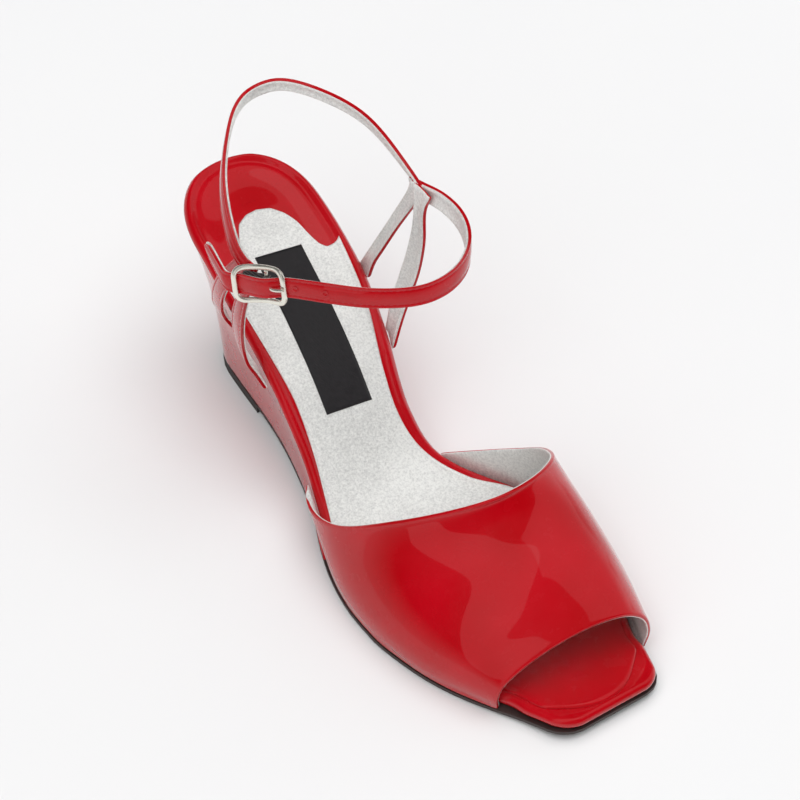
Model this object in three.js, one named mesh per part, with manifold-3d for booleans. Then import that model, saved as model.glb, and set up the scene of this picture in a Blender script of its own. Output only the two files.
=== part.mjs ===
// An open-toe wedge sandal with an ankle strap, the right shoe, in millimetres.
// +X is the inner (medial) side, the toe points along -Y and +Z is up. The sole stands on z = 0.
// Places along the shoe are stations: the distance s forward from the back of the heel seat.
import * as THREE from "three";
import { mergeVertices } from "three/addons/utils/BufferGeometryUtils.js";
import Module from "manifold-3d";

// Driving dimensions.
const soleLength = 247.5; // heel back to toe tip, along the floor
const ballWidth = 90.5; // sole width across the ball
const heelRise = 72.5; // top of the footbed at the heel's back
const toeSpring = 2.6; // lift of the sole's underside at the toe tip
const archLift = 3; // lift of the sole's underside in front of the top piece
const outsoleThickness = 2;
const insoleThickness = 4.8;
const topPieceThickness = 4.6;
const topPieceLength = 41;
const backSlope = 15.5; // how far the wedge's foot stands in from the heel's back
const rimInset = 1.4; // the insole's rim overhangs the wedge by this
const toeRimInset = 0.8; // bare rim in front of the opening, in from the sole's edge
const upperWall = 1.8; // outer leather, lining and its folded edges
const fitGap = 0.3; // clearance between pieces that meet
const backStrapWidth = 5.4;
const ankleStrapWidth = 7.7;
const buckleLength = 21;
const buckleHeight = 14;
const buckleBar = 1.5; // thickness of the buckle's wire
const buckleBow = 2.9; // how far the centre bar lies below the end bars
const centreBar = 1.2; // diameter of the centre bar
const centreBarAhead = 2; // from the middle of the frame towards the toe
const prongWidth = 1.3;
const elasticThickness = 0.8;
const elasticWidth = 7;

// The tables below are drawn for one size and graded to the driving dimensions.
const patternLength = 247.5;
const patternBall = 90.5;
const patternRise = 72.5;
const forefootTop = outsoleThickness + fitGap + insoleThickness;
const patternForefoot = 7.1;
const lengthGrade = soleLength / patternLength;
const widthGrade = ballWidth / patternBall;

// A smooth curve through [position, value] pairs.
function through(pairs) {
  const last = pairs.length - 1;
  const rise = (i) => (pairs[i + 1][1] - pairs[i][1]) / (pairs[i + 1][0] - pairs[i][0]);
  const slopes = pairs.map((_, i) => {
    if (i === 0) return rise(0);
    if (i === last) return rise(last - 1);
    if (rise(i) * rise(i - 1) <= 0) return 0;
    const before = pairs[i][0] - pairs[i - 1][0];
    const after = pairs[i + 1][0] - pairs[i][0];
    return (rise(i) * before + rise(i - 1) * after) / (before + after);
  });
  return (x) => {
    let i = 0;
    while (i < last - 1 && x > pairs[i + 1][0]) i += 1;
    const step = pairs[i + 1][0] - pairs[i][0];
    const t = Math.min(Math.max((x - pairs[i][0]) / step, 0), 1);
    const blend = t * t * (3 - 2 * t);
    return (
      pairs[i][1] * (1 - blend) +
      pairs[i + 1][1] * blend +
      step * t * (1 - t) * (slopes[i] * (1 - t) - slopes[i + 1] * t)
    );
  };
}

const smooth = (x, from, to) => THREE.MathUtils.smoothstep(x, from, to);
const mix = (a, b, t) => a + (b - a) * t;
const spread = (from, to, count) =>
  Array.from({ length: count + 1 }, (_, i) => mix(from, to, i / count));

// Footbed: its top along the shoe, and the outer edge of its rim as [station, x].
const bedProfile = through([
  [0, 72.5], [27, 65], [46, 59], [66, 51.5], [85, 41], [104, 26.5],
  [121, 14.5], [133, 9.9], [145, 7.9], [162, 7.1], [249, 7.1],
]);
const bedLateral = through([
  [0, -23.4], [27, -24.7], [46, -26.5], [66, -27.7], [87, -28.8], [105, -30.3],
  [118, -33.2], [128, -36.2], [138, -39.2],
]);
const bedMedial = through([
  [0, 28.8], [27, 28.8], [47, 27.8], [57, 26.7], [67, 25], [77, 22.8], [87, 20.3], [97, 17.6],
  [106, 16.2], [114, 16.4], [120, 18], [127, 22], [134, 27.2], [141, 33],
]);
// Ground line: the edge of the top piece, the wedge's foot and the outsole.
const groundLateral = through([
  [15, -19.5], [32, -18.6], [45, -19.6], [57, -20.5], [70, -21.8], [81, -23.4], [91, -25.5],
  [100, -27.7], [108, -30], [116, -33], [125, -37], [141, -42.5], [157, -45.3], [172, -45.4],
  [184, -43.5], [197, -40.1], [209, -35.3], [221, -29], [230, -23.8], [238, -19.8], [249, -15],
]);
const groundMedial = through([
  [15, 25.5], [36, 25], [45, 23.4], [58, 21.5], [65, 19.8], [74, 17.8], [85, 16.4], [96, 15.9],
  [107, 16.3], [116, 18.3], [124, 22], [134, 29.5], [146, 38], [157, 43], [168, 45],
  [181, 45.2], [196, 43], [210, 38.3], [221, 33.6], [230, 30.6], [238, 28.2], [249, 25.2],
]);
const seatBack = -4; // the rim's back, behind the line that stations are measured from
const seatMiddle = 2;
const seatRound = 30; // length of the round end of the heel seat
const footMiddle = 3;
const footRound = 21; // length of the round end of the wedge's foot
const toeCorner = 7;
const openingStation = 227; // where the vamp's front edge meets the sole
const springStart = 200 * lengthGrade;

// The share of the full width at a distance into a round end, a little squarer than a circle.
function roundEnd(distance, radius) {
  const short = Math.min(Math.max(1 - distance / radius, 0), 1);
  return (1 - short ** 2.3) ** (1 / 2.1);
}
const cornerCut = (s) => {
  const past = Math.max(0, s - (soleLength - toeCorner));
  return toeCorner - Math.sqrt(Math.max(0, toeCorner ** 2 - past ** 2));
};

function groundEdges(s) {
  const p = s / lengthGrade;
  const round = roundEnd(s - backSlope, footRound);
  const edge = (x) => (mix(footMiddle, x, round) * widthGrade);
  return [edge(groundLateral(p)) + cornerCut(s), edge(groundMedial(p)) - cornerCut(s)];
}

// The insole's rim: bare behind the vamp and in the open toe, and set in by the vamp's wall under it.
function bedEdges(s) {
  const p = s / lengthGrade;
  const round = roundEnd(s - seatBack, seatRound);
  const bare = [bedLateral(p), bedMedial(p)].map((x) => mix(seatMiddle, x, round) * widthGrade);
  const ground = groundEdges(s);
  const covered = 1 - smooth(p, openingStation - 2, openingStation + 6);
  const inset = mix(toeRimInset, upperWall + 2 * fitGap, covered);
  const forward = smooth(p, 124, 138);
  return [mix(bare[0], ground[0] + inset, forward), mix(bare[1], ground[1] - inset, forward)];
}

const spring = (s) => {
  const t = Math.max(0, (s - springStart) / (soleLength - springStart));
  return toeSpring * t * t;
};
function bedTop(s) {
  const share = (bedProfile(s / lengthGrade) - patternForefoot) / (patternRise - patternForefoot);
  return forefootTop + share * (heelRise - forefootTop) + spring(s);
}
const seam = (s) => bedTop(s) - insoleThickness; // underside of the insole
// How far the graded footbed lies above the drawn one, which everything on it follows.
const lift = (p) => bedTop(p * lengthGrade) - spring(p * lengthGrade) - bedProfile(p);
const topPieceFront = backSlope + topPieceLength;
const archEnd = 130 * lengthGrade;
const outsoleBottom = (s) => archLift * (1 - smooth(s, topPieceFront, archEnd)) + spring(s);
const outsoleTop = (s) => outsoleBottom(s) + outsoleThickness;

// The part's origin: the middle of the top piece's underside.
const originX = footMiddle * widthGrade;
const originS = backSlope + topPieceLength / 2;
const at = (x, s, z) => new THREE.Vector3(x - originX, originS - s, z);
const graded = ([x, p, z]) => at(x * widthGrade, p * lengthGrade, z + lift(p));

// A closed mesh from triangles of points, with shared vertices merged and slivers dropped.
function closedMesh(triangles) {
  const soup = new THREE.BufferGeometry();
  const values = triangles.flatMap((t) => t.flatMap((v) => [v.x, v.y, v.z]));
  soup.setAttribute("position", new THREE.Float32BufferAttribute(values, 3));
  const merged = mergeVertices(soup, 1e-3);
  const index = [];
  for (let i = 0; i < merged.index.count; i += 3) {
    const [a, b, c] = [0, 1, 2].map((k) => merged.index.getX(i + k));
    if (a !== b && b !== c && a !== c) index.push(a, b, c);
  }
  merged.setIndex(index);
  return merged;
}

const quad = (a, b, c, d) => [[a, b, c], [a, c, d]];
// The triangles between rows of points, rows[i][j], facing along (next row) x (next column).
function rowsToTriangles(rows, closed = false) {
  const triangles = [];
  for (let i = 0; i < rows.length - 1; i += 1) {
    const count = rows[i].length;
    for (let j = 0; j < (closed ? count : count - 1); j += 1) {
      const k = (j + 1) % count;
      triangles.push(...quad(rows[i][j], rows[i + 1][j], rows[i + 1][k], rows[i][k]));
    }
  }
  return triangles;
}

// A plan outline from edges(s): the lateral side to the toe, the front, and back along the medial side.
function outlineOf(edges, stations, across) {
  const sides = stations.map(edges);
  const last = stations.length - 1;
  const lateral = stations.map((s, i) => [sides[i][0], s]);
  const front = spread(sides[last][0], sides[last][1], across).slice(1, -1);
  const medial = stations.map((s, i) => [sides[i][1], s]).reverse();
  const pointed = sides[0][1] - sides[0][0] < 1e-6;
  if (pointed) medial.pop();
  const back = pointed ? [] : spread(sides[0][1], sides[0][0], across).slice(1, -1);
  return [
    ...lateral,
    ...front.map((x) => [x, stations[last]]),
    ...medial,
    ...back.map((x) => [x, stations[0]]),
  ];
}

// An outline moved inwards by a distance, or outwards by a negative one.
function insetOutline(outline, distance) {
  const count = outline.length;
  return outline.map(([x, s], i) => {
    const before = outline[(i + count - 1) % count];
    const after = outline[(i + 1) % count];
    const run = [after[0] - before[0], after[1] - before[1]];
    const length = Math.hypot(...run);
    return [x + (distance * run[1]) / length, s - (distance * run[0]) / length];
  });
}

// The rows that fill a ring from its lateral side to its medial side.
function fillRows(ring, stationCount, across, height) {
  const count = ring.length;
  const pointed = count === 2 * stationCount + across - 2;
  const shift = pointed ? count : count - across;
  const rows = [];
  for (let i = 0; i < stationCount; i += 1) {
    const a = ring[i];
    const b = ring[(shift - i) % count];
    if (i === stationCount - 1) rows.push(ring.slice(i, i + across + 1));
    else if (i === 0 && !pointed) rows.push([a, ...ring.slice(shift).reverse()]);
    else rows.push(spread(0, 1, across).map((t) => [mix(a[0], b[0], t), mix(a[1], b[1], t)]));
  }
  return rows.map((row) => row.map(([x, s]) => at(x, s, height(x, s))));
}

// A plate between rings: layers run from the underside up, each a plan ring with its height.
// Its outline starts at a point at the heel, or at a straight back edge.
function plate(layers, stationCount, across) {
  const rings = layers.map(({ ring, height }) => ring.map(([x, s]) => at(x, s, height(x, s))));
  const bottom = layers[0];
  const top = layers[layers.length - 1];
  const under = rowsToTriangles(fillRows(bottom.ring, stationCount, across, bottom.height));
  const over = rowsToTriangles(fillRows(top.ring, stationCount, across, top.height));
  const wall = rowsToTriangles(rings, true);
  const flip = (triangles) => triangles.map(([a, b, c]) => [a, c, b]);
  return closedMesh([...flip(under), ...over, ...flip(wall)]);
}

// A sheet of leather with a wall: rows of points on its outer face, and the wall behind them.
// level(i, j) marks the points whose wall lies level, along the seam with the sole.
function sheet(rows, wall, level = () => false) {
  const last = rows.length - 1;
  const end = rows[0].length - 1;
  const inner = rows.map((row, i) =>
    row.map((p, j) => {
      const along = rows[Math.min(i + 1, last)][j].clone().sub(rows[Math.max(i - 1, 0)][j]);
      const across = row[Math.min(j + 1, end)].clone().sub(row[Math.max(j - 1, 0)]);
      const normal = along.cross(across);
      if (level(i, j)) normal.z = 0;
      normal.normalize();
      return p.clone().addScaledVector(normal, -wall);
    }),
  );
  const faces = [
    ...rowsToTriangles(rows),
    ...rowsToTriangles(inner).map(([a, b, c]) => [a, c, b]),
  ];
  const rimOf = (grid) => [
    ...grid[0],
    ...grid.slice(1).map((row) => row[end]),
    ...grid[last].slice(0, -1).reverse(),
    ...grid.slice(1, -1).map((row) => row[0]).reverse(),
  ];
  faces.push(...rowsToTriangles([rimOf(rows), rimOf(inner)], true).map(([a, b, c]) => [a, c, b]));
  return closedMesh(faces);
}

// A tube of rings of points, closed round or with flat ends.
function tube(rings, closed) {
  const body = rowsToTriangles(closed ? [...rings, rings[0]] : rings, true);
  if (closed) return closedMesh(body);
  const cap = (ring) => ring.slice(1, -1).map((p, i) => [ring[0], p, ring[i + 2]]);
  const first = cap(rings[0]);
  const final = cap(rings[rings.length - 1]).map(([a, b, c]) => [a, c, b]);
  return closedMesh([...body, ...first, ...final]);
}

const curveOf = (points) => new THREE.CatmullRomCurve3(points, false, "centripetal");

const wasm = await Module();
wasm.setup();

function solidOf(geometry) {
  return new wasm.Manifold(
    new wasm.Mesh({
      numProp: 3,
      vertProperties: geometry.attributes.position.array,
      triVerts: new Uint32Array(geometry.index.array),
    }),
  );
}

function geometryOf(solid) {
  const mesh = solid.getMesh();
  const geometry = new THREE.BufferGeometry();
  geometry.setAttribute("position", new THREE.BufferAttribute(mesh.vertProperties, 3));
  geometry.setIndex(new THREE.BufferAttribute(mesh.triVerts, 1));
  return geometry;
}

const join = (geometries) =>
  geometries.map(solidOf).reduce((whole, next) => whole.add(next));

// Stations for a sole piece: shared ones along its middle, closer ones at its round ends.
function soleStations(from, to, backRound) {
  const back = backRound ? [0, 0.02, 0.07, 0.15, 0.27, 0.42, 0.6, 0.8].map((t) => from + t * backRound) : [];
  const start = backRound ? from + backRound : from;
  const frontRound = to > soleLength - 1 ? toeCorner : 0;
  const end = to - frontRound;
  const shared = spread(0, soleLength, 50).filter((s) => s > start + 1.5 && s < end - 1.5);
  const front = frontRound ? [0.35, 0.65, 0.88, 1].map((t) => end + frontRound * t) : [];
  return [...back, start, ...shared, end, ...front];
}

function makeInsole() {
  const across = 6;
  const stations = soleStations(seatBack, soleLength, seatRound);
  const outline = outlineOf(bedEdges, stations, across);
  const half = insoleThickness / 2;
  const layer = (angle) => ({
    ring: insetOutline(outline, half * (1 - Math.cos(angle))),
    height: (x, s) => bedTop(s) - half + half * Math.sin(angle),
  });
  const layers = [-90, -45, 0, 45, 90].map((degrees) => layer(THREE.MathUtils.degToRad(degrees)));
  return plate(layers, stations.length, across);
}

function makeOutsole() {
  const across = 6;
  const from = topPieceFront + fitGap;
  const stations = soleStations(from, soleLength, 0);
  const outline = outlineOf(groundEdges, stations, across);
  const layers = [
    { ring: insetOutline(outline, 0.5), height: (x, s) => outsoleBottom(s) },
    { ring: outline, height: (x, s) => outsoleBottom(s) + 0.6 },
    { ring: outline, height: (x, s) => outsoleTop(s) },
  ];
  return plate(layers, stations.length, across);
}

function makeTopPiece() {
  const across = 4;
  const stations = soleStations(backSlope, topPieceFront, footRound);
  const outline = outlineOf(groundEdges, stations, across);
  const layers = [
    { ring: insetOutline(outline, 0.6), height: () => 0 },
    { ring: outline, height: () => 0.6 },
    { ring: outline, height: () => topPieceThickness },
  ];
  return plate(layers, stations.length, across);
}

// The wedge stands on the top piece and the outsole, and leans out to the insole's rim.
const wedgeFront = 133 * lengthGrade;
function wedgeFoot(s) {
  const start = seatBack + rimInset;
  const blend = Math.max(0, 1 - (s - start) / (backSlope + 26));
  return s + (backSlope - start) * blend * blend;
}
function makeWedge() {
  const across = 4;
  const stations = soleStations(seatBack + rimInset, wedgeFront, seatRound);
  const topEdges = (s) => {
    const [lateral, medial] = bedEdges(s);
    const inset = Math.min(rimInset, (medial - lateral) / 2);
    return s <= seatBack + rimInset ? [0, 0].map(() => (lateral + medial) / 2) : [lateral + inset, medial - inset];
  };
  const top = outlineOf(topEdges, stations, across);
  const foot = outlineOf(
    (s) => (s <= seatBack + rimInset ? [0, 0].map(() => originX) : groundEdges(wedgeFoot(s))),
    stations,
    across,
  ).map(([x, s]) => [x, wedgeFoot(s)]);
  const footHeight = (x, s) =>
    (s < topPieceFront + fitGap ? Math.max(topPieceThickness, outsoleTop(s)) : outsoleTop(s)) + fitGap;
  const topHeight = (x, s) => seam(s) - fitGap;
  const layer = (t) => {
    const flare = t ** 1.25;
    const height = (i) => mix(footHeight(...foot[i]), topHeight(...top[i]), t);
    const ring = foot.map(([x, s], i) => [mix(x, top[i][0], flare), mix(s, top[i][1], flare)]);
    return { ring, heights: ring.map((_, i) => height(i)) };
  };
  const layers = [0, 0.25, 0.5, 0.75, 1].map(layer);
  const rings = layers.map(({ ring, heights }) => ring.map(([x, s], i) => at(x, s, heights[i])));
  const under = rowsToTriangles(fillRows(foot, stations.length, across, footHeight));
  const over = rowsToTriangles(fillRows(top, stations.length, across, topHeight));
  const flip = (triangles) => triangles.map(([a, b, c]) => [a, c, b]);
  return closedMesh([...flip(under), ...over, ...flip(rowsToTriangles(rings, true))]);
}

// Where the upper's outer face meets the sole, on the lateral (0) or the medial (1) side.
function feather(side, s) {
  const slant = (bedEdges(s + 1)[side] - bedEdges(s - 1)[side]) / 2;
  const out = (side === 0 ? -1 : 1) * (fitGap + upperWall) * Math.hypot(1, slant);
  return [bedEdges(s)[side] + out, s, seam(s)];
}

// Vamp: rows from its back edge to the toe opening, each from the lateral to the medial side.
// first and last are the stations where a row meets the sole; between them are [x, station, z].
const vampRows = [
  { first: 110, last: 119, points: [
    [-38.2, 120, 17.5], [-39.8, 137, 25], [-29.5, 160, 41], [2, 180.5, 53],
    [31, 172.5, 47.3], [39.3, 158, 36.5], [37, 143, 24.5] ] },
  { first: 152, last: 158, points: [
    [-45.7, 156.5, 10.5], [-41.6, 162, 21.5], [-29, 172, 34.6], [4, 187.5, 46.8],
    [31.5, 182, 41.8], [41.2, 172, 28.4], [45, 163, 13] ] },
  { first: 192, last: 198, points: [
    [-42, 194, 10.5], [-36.8, 198, 19.8], [-25, 203, 28.8], [5, 208, 38.2],
    [28.2, 208, 34], [37, 205, 23.4], [41.2, 201, 12] ] },
  { first: 223.5, last: 230, points: [
    [-28.9, 224.5, 9.5], [-26.6, 225, 16.5], [-14.5, 225.8, 23.4], [5, 228, 28.6],
    [20.5, 230.2, 28.2], [29.5, 231, 21.5], [32.4, 231, 12] ] },
];

function makeVamp() {
  const rowsDown = 16;
  const columns = 26;
  const curves = vampRows.map(({ first, last, points }) => {
    const lateral = feather(0, first * lengthGrade);
    const medial = feather(1, last * lengthGrade);
    return curveOf([at(...lateral), ...points.map(graded), at(...medial)]);
  });
  const columnCurves = spread(0, 1, columns).map((t) => curveOf(curves.map((c) => c.getPoint(t))));
  const rows = spread(0, 1, rowsDown).map((t) => columnCurves.map((c) => c.getPoint(t)));
  // The two lower edges follow the seam between insole and outsole, and the wall passes the rim.
  rows.forEach((row) => {
    [0, 1].forEach((side) => {
      const edge = side === 0 ? 0 : columns;
      row[edge] = at(...feather(side, originS - row[edge].y));
      row.forEach((p, j) => {
        const s = originS - p.y;
        if (p.z > bedTop(s) + 2 || (j > columns / 2) !== (side === 1)) return;
        const clear = feather(side, s)[0] - originX;
        p.x = side === 0 ? Math.min(p.x, clear) : Math.max(p.x, clear);
      });
    });
  });
  return sheet(rows, upperWall, (i, j) => j === 0 || j === columns);
}

// The quarters: each leg between its rear and front edge, from the junction down to the sole.
// A leg ends at the seam; foot gives the stations where its two edges meet it.
const legs = {
  medialRear: { side: 1, foot: [54, 61],
    rear: [[36.8, 76, 105.5], [36.4, 74.6, 100], [34.8, 68.3, 85], [31.9, 62.9, 71.1], [30.1, 58.2, 60]],
    front: [[37, 83.5, 104], [36.4, 78.5, 94], [33.8, 71, 78], [30.8, 66.5, 65.8], [29.2, 63, 57]] },
  medialFront: { side: 1, foot: [78, 86],
    rear: [[36.8, 77, 105.5], [35.8, 79.6, 93.5], [34.6, 77.3, 75.3], [32.4, 75.2, 61],
      [28.6, 75.4, 51]],
    front: [[37.2, 88, 105], [36.2, 85.7, 97], [36, 85.7, 82.1], [34.6, 84.5, 67.2],
      [31.4, 83.4, 54.6], [27.4, 84, 45]] },
  lateralRear: { side: 0, foot: [48, 56.5],
    rear: [[-34.6, 74, 105], [-35.6, 71, 100], [-37.2, 62.7, 87.4], [-36.4, 55.6, 72.8],
      [-33, 50.6, 60]],
    front: [[-34, 81, 104], [-35.8, 74.8, 95], [-37.4, 66.1, 79.1], [-35.6, 60.6, 66.5],
      [-32.3, 57, 57]] },
  lateralFront: { side: 0, foot: [74, 80],
    rear: [[-34.6, 75, 105], [-35.4, 75, 93], [-37.6, 71.5, 75.5], [-36.4, 71, 61.6],
      [-32.8, 72.6, 51]],
    front: [[-33.4, 84, 104.5], [-35.4, 82.2, 96], [-38.8, 80.9, 79.9], [-38.4, 79.3, 64.9],
      [-35.8, 77.6, 52.6], [-32.6, 78, 45]] },
};

function makeLeg({ side, foot, rear, front }) {
  const along = 14;
  const across = 4;
  const close = (points, station) => {
    const [x, s, z] = feather(side, station * lengthGrade);
    return curveOf([...points.map(graded), at(x, s, z)]);
  };
  const edges = [close(rear, foot[0]), close(front, foot[1])];
  const rows = spread(0, 1, along).map((t) => {
    const [a, b] = edges.map((curve) => curve.getPoint(t));
    const row = spread(0, 1, across).map((u) => a.clone().lerp(b, u));
    return side === 0 ? row : row.reverse();
  });
  rows[along] = rows[along].map((p) => {
    const s = originS - p.y;
    return at(...feather(side, s));
  });
  return sheet(rows, upperWall, (i) => i === along);
}

// A strap standing on edge: its top edge, its width, and how far its lower edge leans out (degrees).
// turn is 1 where the outside lies to the left of the way it runs, and -1 where it lies to the right.
function strapRows(topEdge, width, leanAt, steps, turn) {
  const curve = curveOf(topEdge);
  return spread(0, 1, steps).map((t) => {
    const p = curve.getPoint(t);
    const ahead = curve.getTangent(t);
    const outward = new THREE.Vector3(-ahead.y, ahead.x, 0).normalize().multiplyScalar(turn);
    const lean = THREE.MathUtils.degToRad(leanAt(t));
    const down = outward.clone().multiplyScalar(Math.sin(lean)).add(new THREE.Vector3(0, 0, -Math.cos(lean)));
    down.addScaledVector(ahead, -down.dot(ahead)).normalize();
    return [p, p.clone().addScaledVector(down, width / 2), p.clone().addScaledVector(down, width)];
  });
}

// Top edge of the back strap, from the medial junction round the heel to the lateral one.
const backStrapTop = [
  [37.2, 82, 105.4], [37, 75.4, 108.6], [30.5, 56.1, 124.5], [18.2, 41.2, 132.8], [8.8, 31, 133.6],
  [0, 27, 130.6], [-7.8, 30, 129.4], [-17.8, 40, 127.4], [-29, 55.5, 120.8],
  [-34.6, 73, 108.6], [-34, 80, 105.2],
];
// Top edge of the ankle strap, from the medial junction round the front, to the buckle.
const ankleStrapTop = [
  [37.3, 74, 105.2], [38.4, 80, 106], [40.6, 89, 107.5], [40, 102, 109.5], [35.2, 114.5, 111],
  [27.2, 123.7, 112], [16.8, 128.9, 112.6], [4.6, 129.2, 113], [-10, 121, 112.6],
  [-23.2, 106.3, 111.2],
];
// Its lower edge, point for point.
const ankleStrapLow = [
  [37.5, 76, 98], [38.4, 82, 98.6], [39.2, 92, 100], [37.6, 104.9, 102], [33.6, 115.5, 103.5],
  [26.8, 125.3, 104.9], [15.9, 131.4, 105.5], [3.6, 131.8, 105.7], [-12, 122.9, 105.5],
  [-25.5, 108.4, 104.2],
];
const buckleMiddle = [-35.8, 89.8, 102.8];
const tipEnd = [-41.6, 62.5, 103.4];
const tabEnd = [-36.6, 78, 102]; // where the elastic is fastened, on the lateral junction

// The buckle's own frame: rearward along the strap, up across it and outward from it.
function buckleFrame() {
  const middle = graded(buckleMiddle);
  const front = graded([-28.5, 100.2, 105.8]);
  const rearward = middle.clone().sub(front).normalize();
  const upright = new THREE.Vector3(0.28, 0.1, 1);
  const outward = upright.clone().cross(rearward).normalize();
  const up = rearward.clone().cross(outward).normalize();
  const place = (a, b, c) =>
    middle.clone().addScaledVector(rearward, a).addScaledVector(up, b).addScaledVector(outward, c);
  return { middle, rearward, up, outward, place };
}

function makeStraps() {
  const { place } = buckleFrame();
  const parts = Object.values(legs).map(makeLeg);
  const backLean = (t) => mix(6, 20, Math.abs(2 * t - 1) ** 1.5);
  const backRows = strapRows(backStrapTop.map(graded), backStrapWidth, backLean, 36, -1);
  parts.push(sheet(backRows.map((row) => row.reverse()), upperWall));

  const clear = (centreBar + upperWall) / 2 + elasticThickness + 2 * fitGap;
  const overCentre = bowAt(-centreBarAhead) + clear + 0.05;
  const underEnds = bowAt(barReach) - (buckleBar + upperWall) / 2 - fitGap - 0.1;
  const halfStrap = ankleStrapWidth / 2;
  const topEdge = curveOf(ankleStrapTop.map(graded));
  const lowEdge = curveOf(ankleStrapLow.map(graded));
  const front = spread(0, 1, 30).map((t) => {
    const [top, low] = [topEdge.getPoint(t), lowEdge.getPoint(t)];
    const middle = top.clone().lerp(low, 0.5);
    const half = top.clone().sub(low).setLength(ankleStrapWidth / 2);
    return [middle.clone().add(half), middle, middle.clone().sub(half)];
  });
  const across = (a, c) => [halfStrap, 0, -halfStrap].map((b) => place(a, b, c + upperWall / 2));
  const run = [
    across(-barReach - 1.8, underEnds - 0.1),
    across(-barReach + 1.4, underEnds),
    across(-barReach + 3.4, mix(underEnds, overCentre, 0.45)),
    across(-centreBarAhead - 1.4, overCentre),
    across(-centreBarAhead + 1.4, overCentre),
    across(barReach - 4.6, mix(underEnds, overCentre, 0.4)),
    across(barReach - 1.8, underEnds),
    across(barReach + 1.8, underEnds),
    across(barReach + 4.5, underEnds + 0.1),
  ];
  const tip = graded(tipEnd);
  const beyond = run[run.length - 1].map((p, j) => {
    const from = run[run.length - 1][1];
    return tip.clone().add(p.clone().sub(from).multiplyScalar(0.62));
  });
  const nearTip = run[run.length - 1].map((p, j) => p.clone().lerp(beyond[j], 0.7)
    .addScaledVector(p.clone().sub(run[run.length - 1][1]), 0.18));
  const keys = [...front, ...run, nearTip, beyond];
  const lines = [0, 1, 2].map((j) => curveOf(keys.map((row) => row[j])));
  const rows = keys.map((_, i) => lines.map((line, j) => keys[i][j]));
  parts.push(sheet(rows, upperWall));
  let whole = join(parts);
  const slot = prongSlot();
  whole = whole.subtract(solidOf(slot));
  return geometryOf(whole);
}

// The hole in the strap that the prong comes up through.
function prongSlot() {
  const { place } = buckleFrame();
  const half = prongWidth / 2 + fitGap;
  const rings = [-4.6, -0.6].map((a) => [[-1, -1], [1, -1], [1, 1], [-1, 1]].map(([u, v]) =>
    place(a - centreBarAhead, u * half, v * 6)));
  return tube(rings, false);
}

// Rings of a round wire along a path of points in the buckle's frame.
function wire(path, radiusAt, closed, sides = 8) {
  const { place } = buckleFrame();
  const points = path.map((p) => place(...p));
  const count = points.length;
  const normal = place(0, 0, 1).sub(place(0, 0, 0));
  const acrossWire = place(0, 1, 0).sub(place(0, 0, 0));
  const rings = points.map((p, i) => {
    const before = points[closed ? (i + count - 1) % count : Math.max(i - 1, 0)];
    const after = points[closed ? (i + 1) % count : Math.min(i + 1, count - 1)];
    const ahead = after.clone().sub(before).normalize();
    const reference = closed ? normal : acrossWire;
    const side = reference.clone().cross(ahead).normalize();
    const over = side.clone().cross(ahead).normalize();
    const [wide, thick] = radiusAt(i / count, path[i]);
    return spread(0, 2 * Math.PI, sides).slice(0, -1).map((angle) =>
      p.clone()
        .addScaledVector(side, wide * Math.cos(angle))
        .addScaledVector(over, thick * Math.sin(angle)));
  });
  return tube(rings, closed);
}

const barReach = (buckleLength - buckleBar) / 2 - 0.3; // from the middle to the end bars
const bowAt = (a) => buckleBow * ((2 * a) / (buckleLength - buckleBar)) ** 2 - buckleBow / 2;

function makeBuckleFrame() {
  const corner = 3.2;
  const halfLong = barReach;
  const halfHigh = (buckleHeight - buckleBar) / 2;
  const path = [];
  [[1, 1], [-1, 1], [-1, -1], [1, -1]].forEach(([a, b], k) => {
    spread(0, Math.PI / 2, 4).forEach((turn) => {
      const angle = turn + (k * Math.PI) / 2;
      path.push([
        a * (halfLong - corner) + corner * Math.cos(angle),
        b * (halfHigh - corner) + corner * Math.sin(angle),
      ]);
    });
    const rail = k % 2 === 0 ? 5 : 1;
    const [na, nb] = [[-1, 1], [-1, -1], [1, -1], [1, 1]][k];
    const from = path[path.length - 1];
    const end = (k + 1) * (Math.PI / 2);
    const to = [
      na * (halfLong - corner) + corner * Math.cos(end),
      nb * (halfHigh - corner) + corner * Math.sin(end),
    ];
    spread(0, 1, rail + 1).slice(1, -1).forEach((t) => path.push([mix(from[0], to[0], t), mix(from[1], to[1], t)]));
  });
  const bent = path.map(([a, b]) => [a, b, bowAt(a)]);
  const endBar = (a) => mix(buckleBar / 2, 1.1, smooth(Math.abs(a), halfLong - corner, halfLong));
  const ring = wire(bent, (t, [a]) => [endBar(a), buckleBar / 2], true);
  const bar = wire(
    [[-centreBarAhead, -halfHigh, bowAt(-centreBarAhead)], [-centreBarAhead, halfHigh, bowAt(-centreBarAhead)]],
    () => [centreBar / 2, centreBar / 2],
    false,
  );
  return geometryOf(join([ring, bar]));
}

function makeProng() {
  const low = bowAt(-centreBarAhead);
  const reach = centreBar / 2 + fitGap + prongWidth / 2;
  const hook = spread(20, -180, 8).map((degrees) => {
    const angle = THREE.MathUtils.degToRad(degrees);
    return [-centreBarAhead + reach * Math.cos(angle), 0, low + reach * Math.sin(angle)];
  });
  const onBar = bowAt(barReach) + buckleBar / 2 + prongWidth / 2 + fitGap;
  const ahead = -centreBarAhead - reach;
  const path = [
    ...hook,
    [ahead - 0.1, 0, low + 1.2],
    [ahead - 0.6, 0, low + 2.6],
    [ahead - 1.8, 0, onBar - 0.3],
    [ahead - 3.2, 0, onBar + 0.1],
    [-barReach + 1.6, 0, onBar + 0.05],
    [-barReach - 1, 0, onBar],
  ];
  const radius = (t) => (prongWidth / 2) * (t > 0.9 ? 0.8 : 1);
  return wire(path, (t) => [radius(t), radius(t)], false);
}

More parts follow.
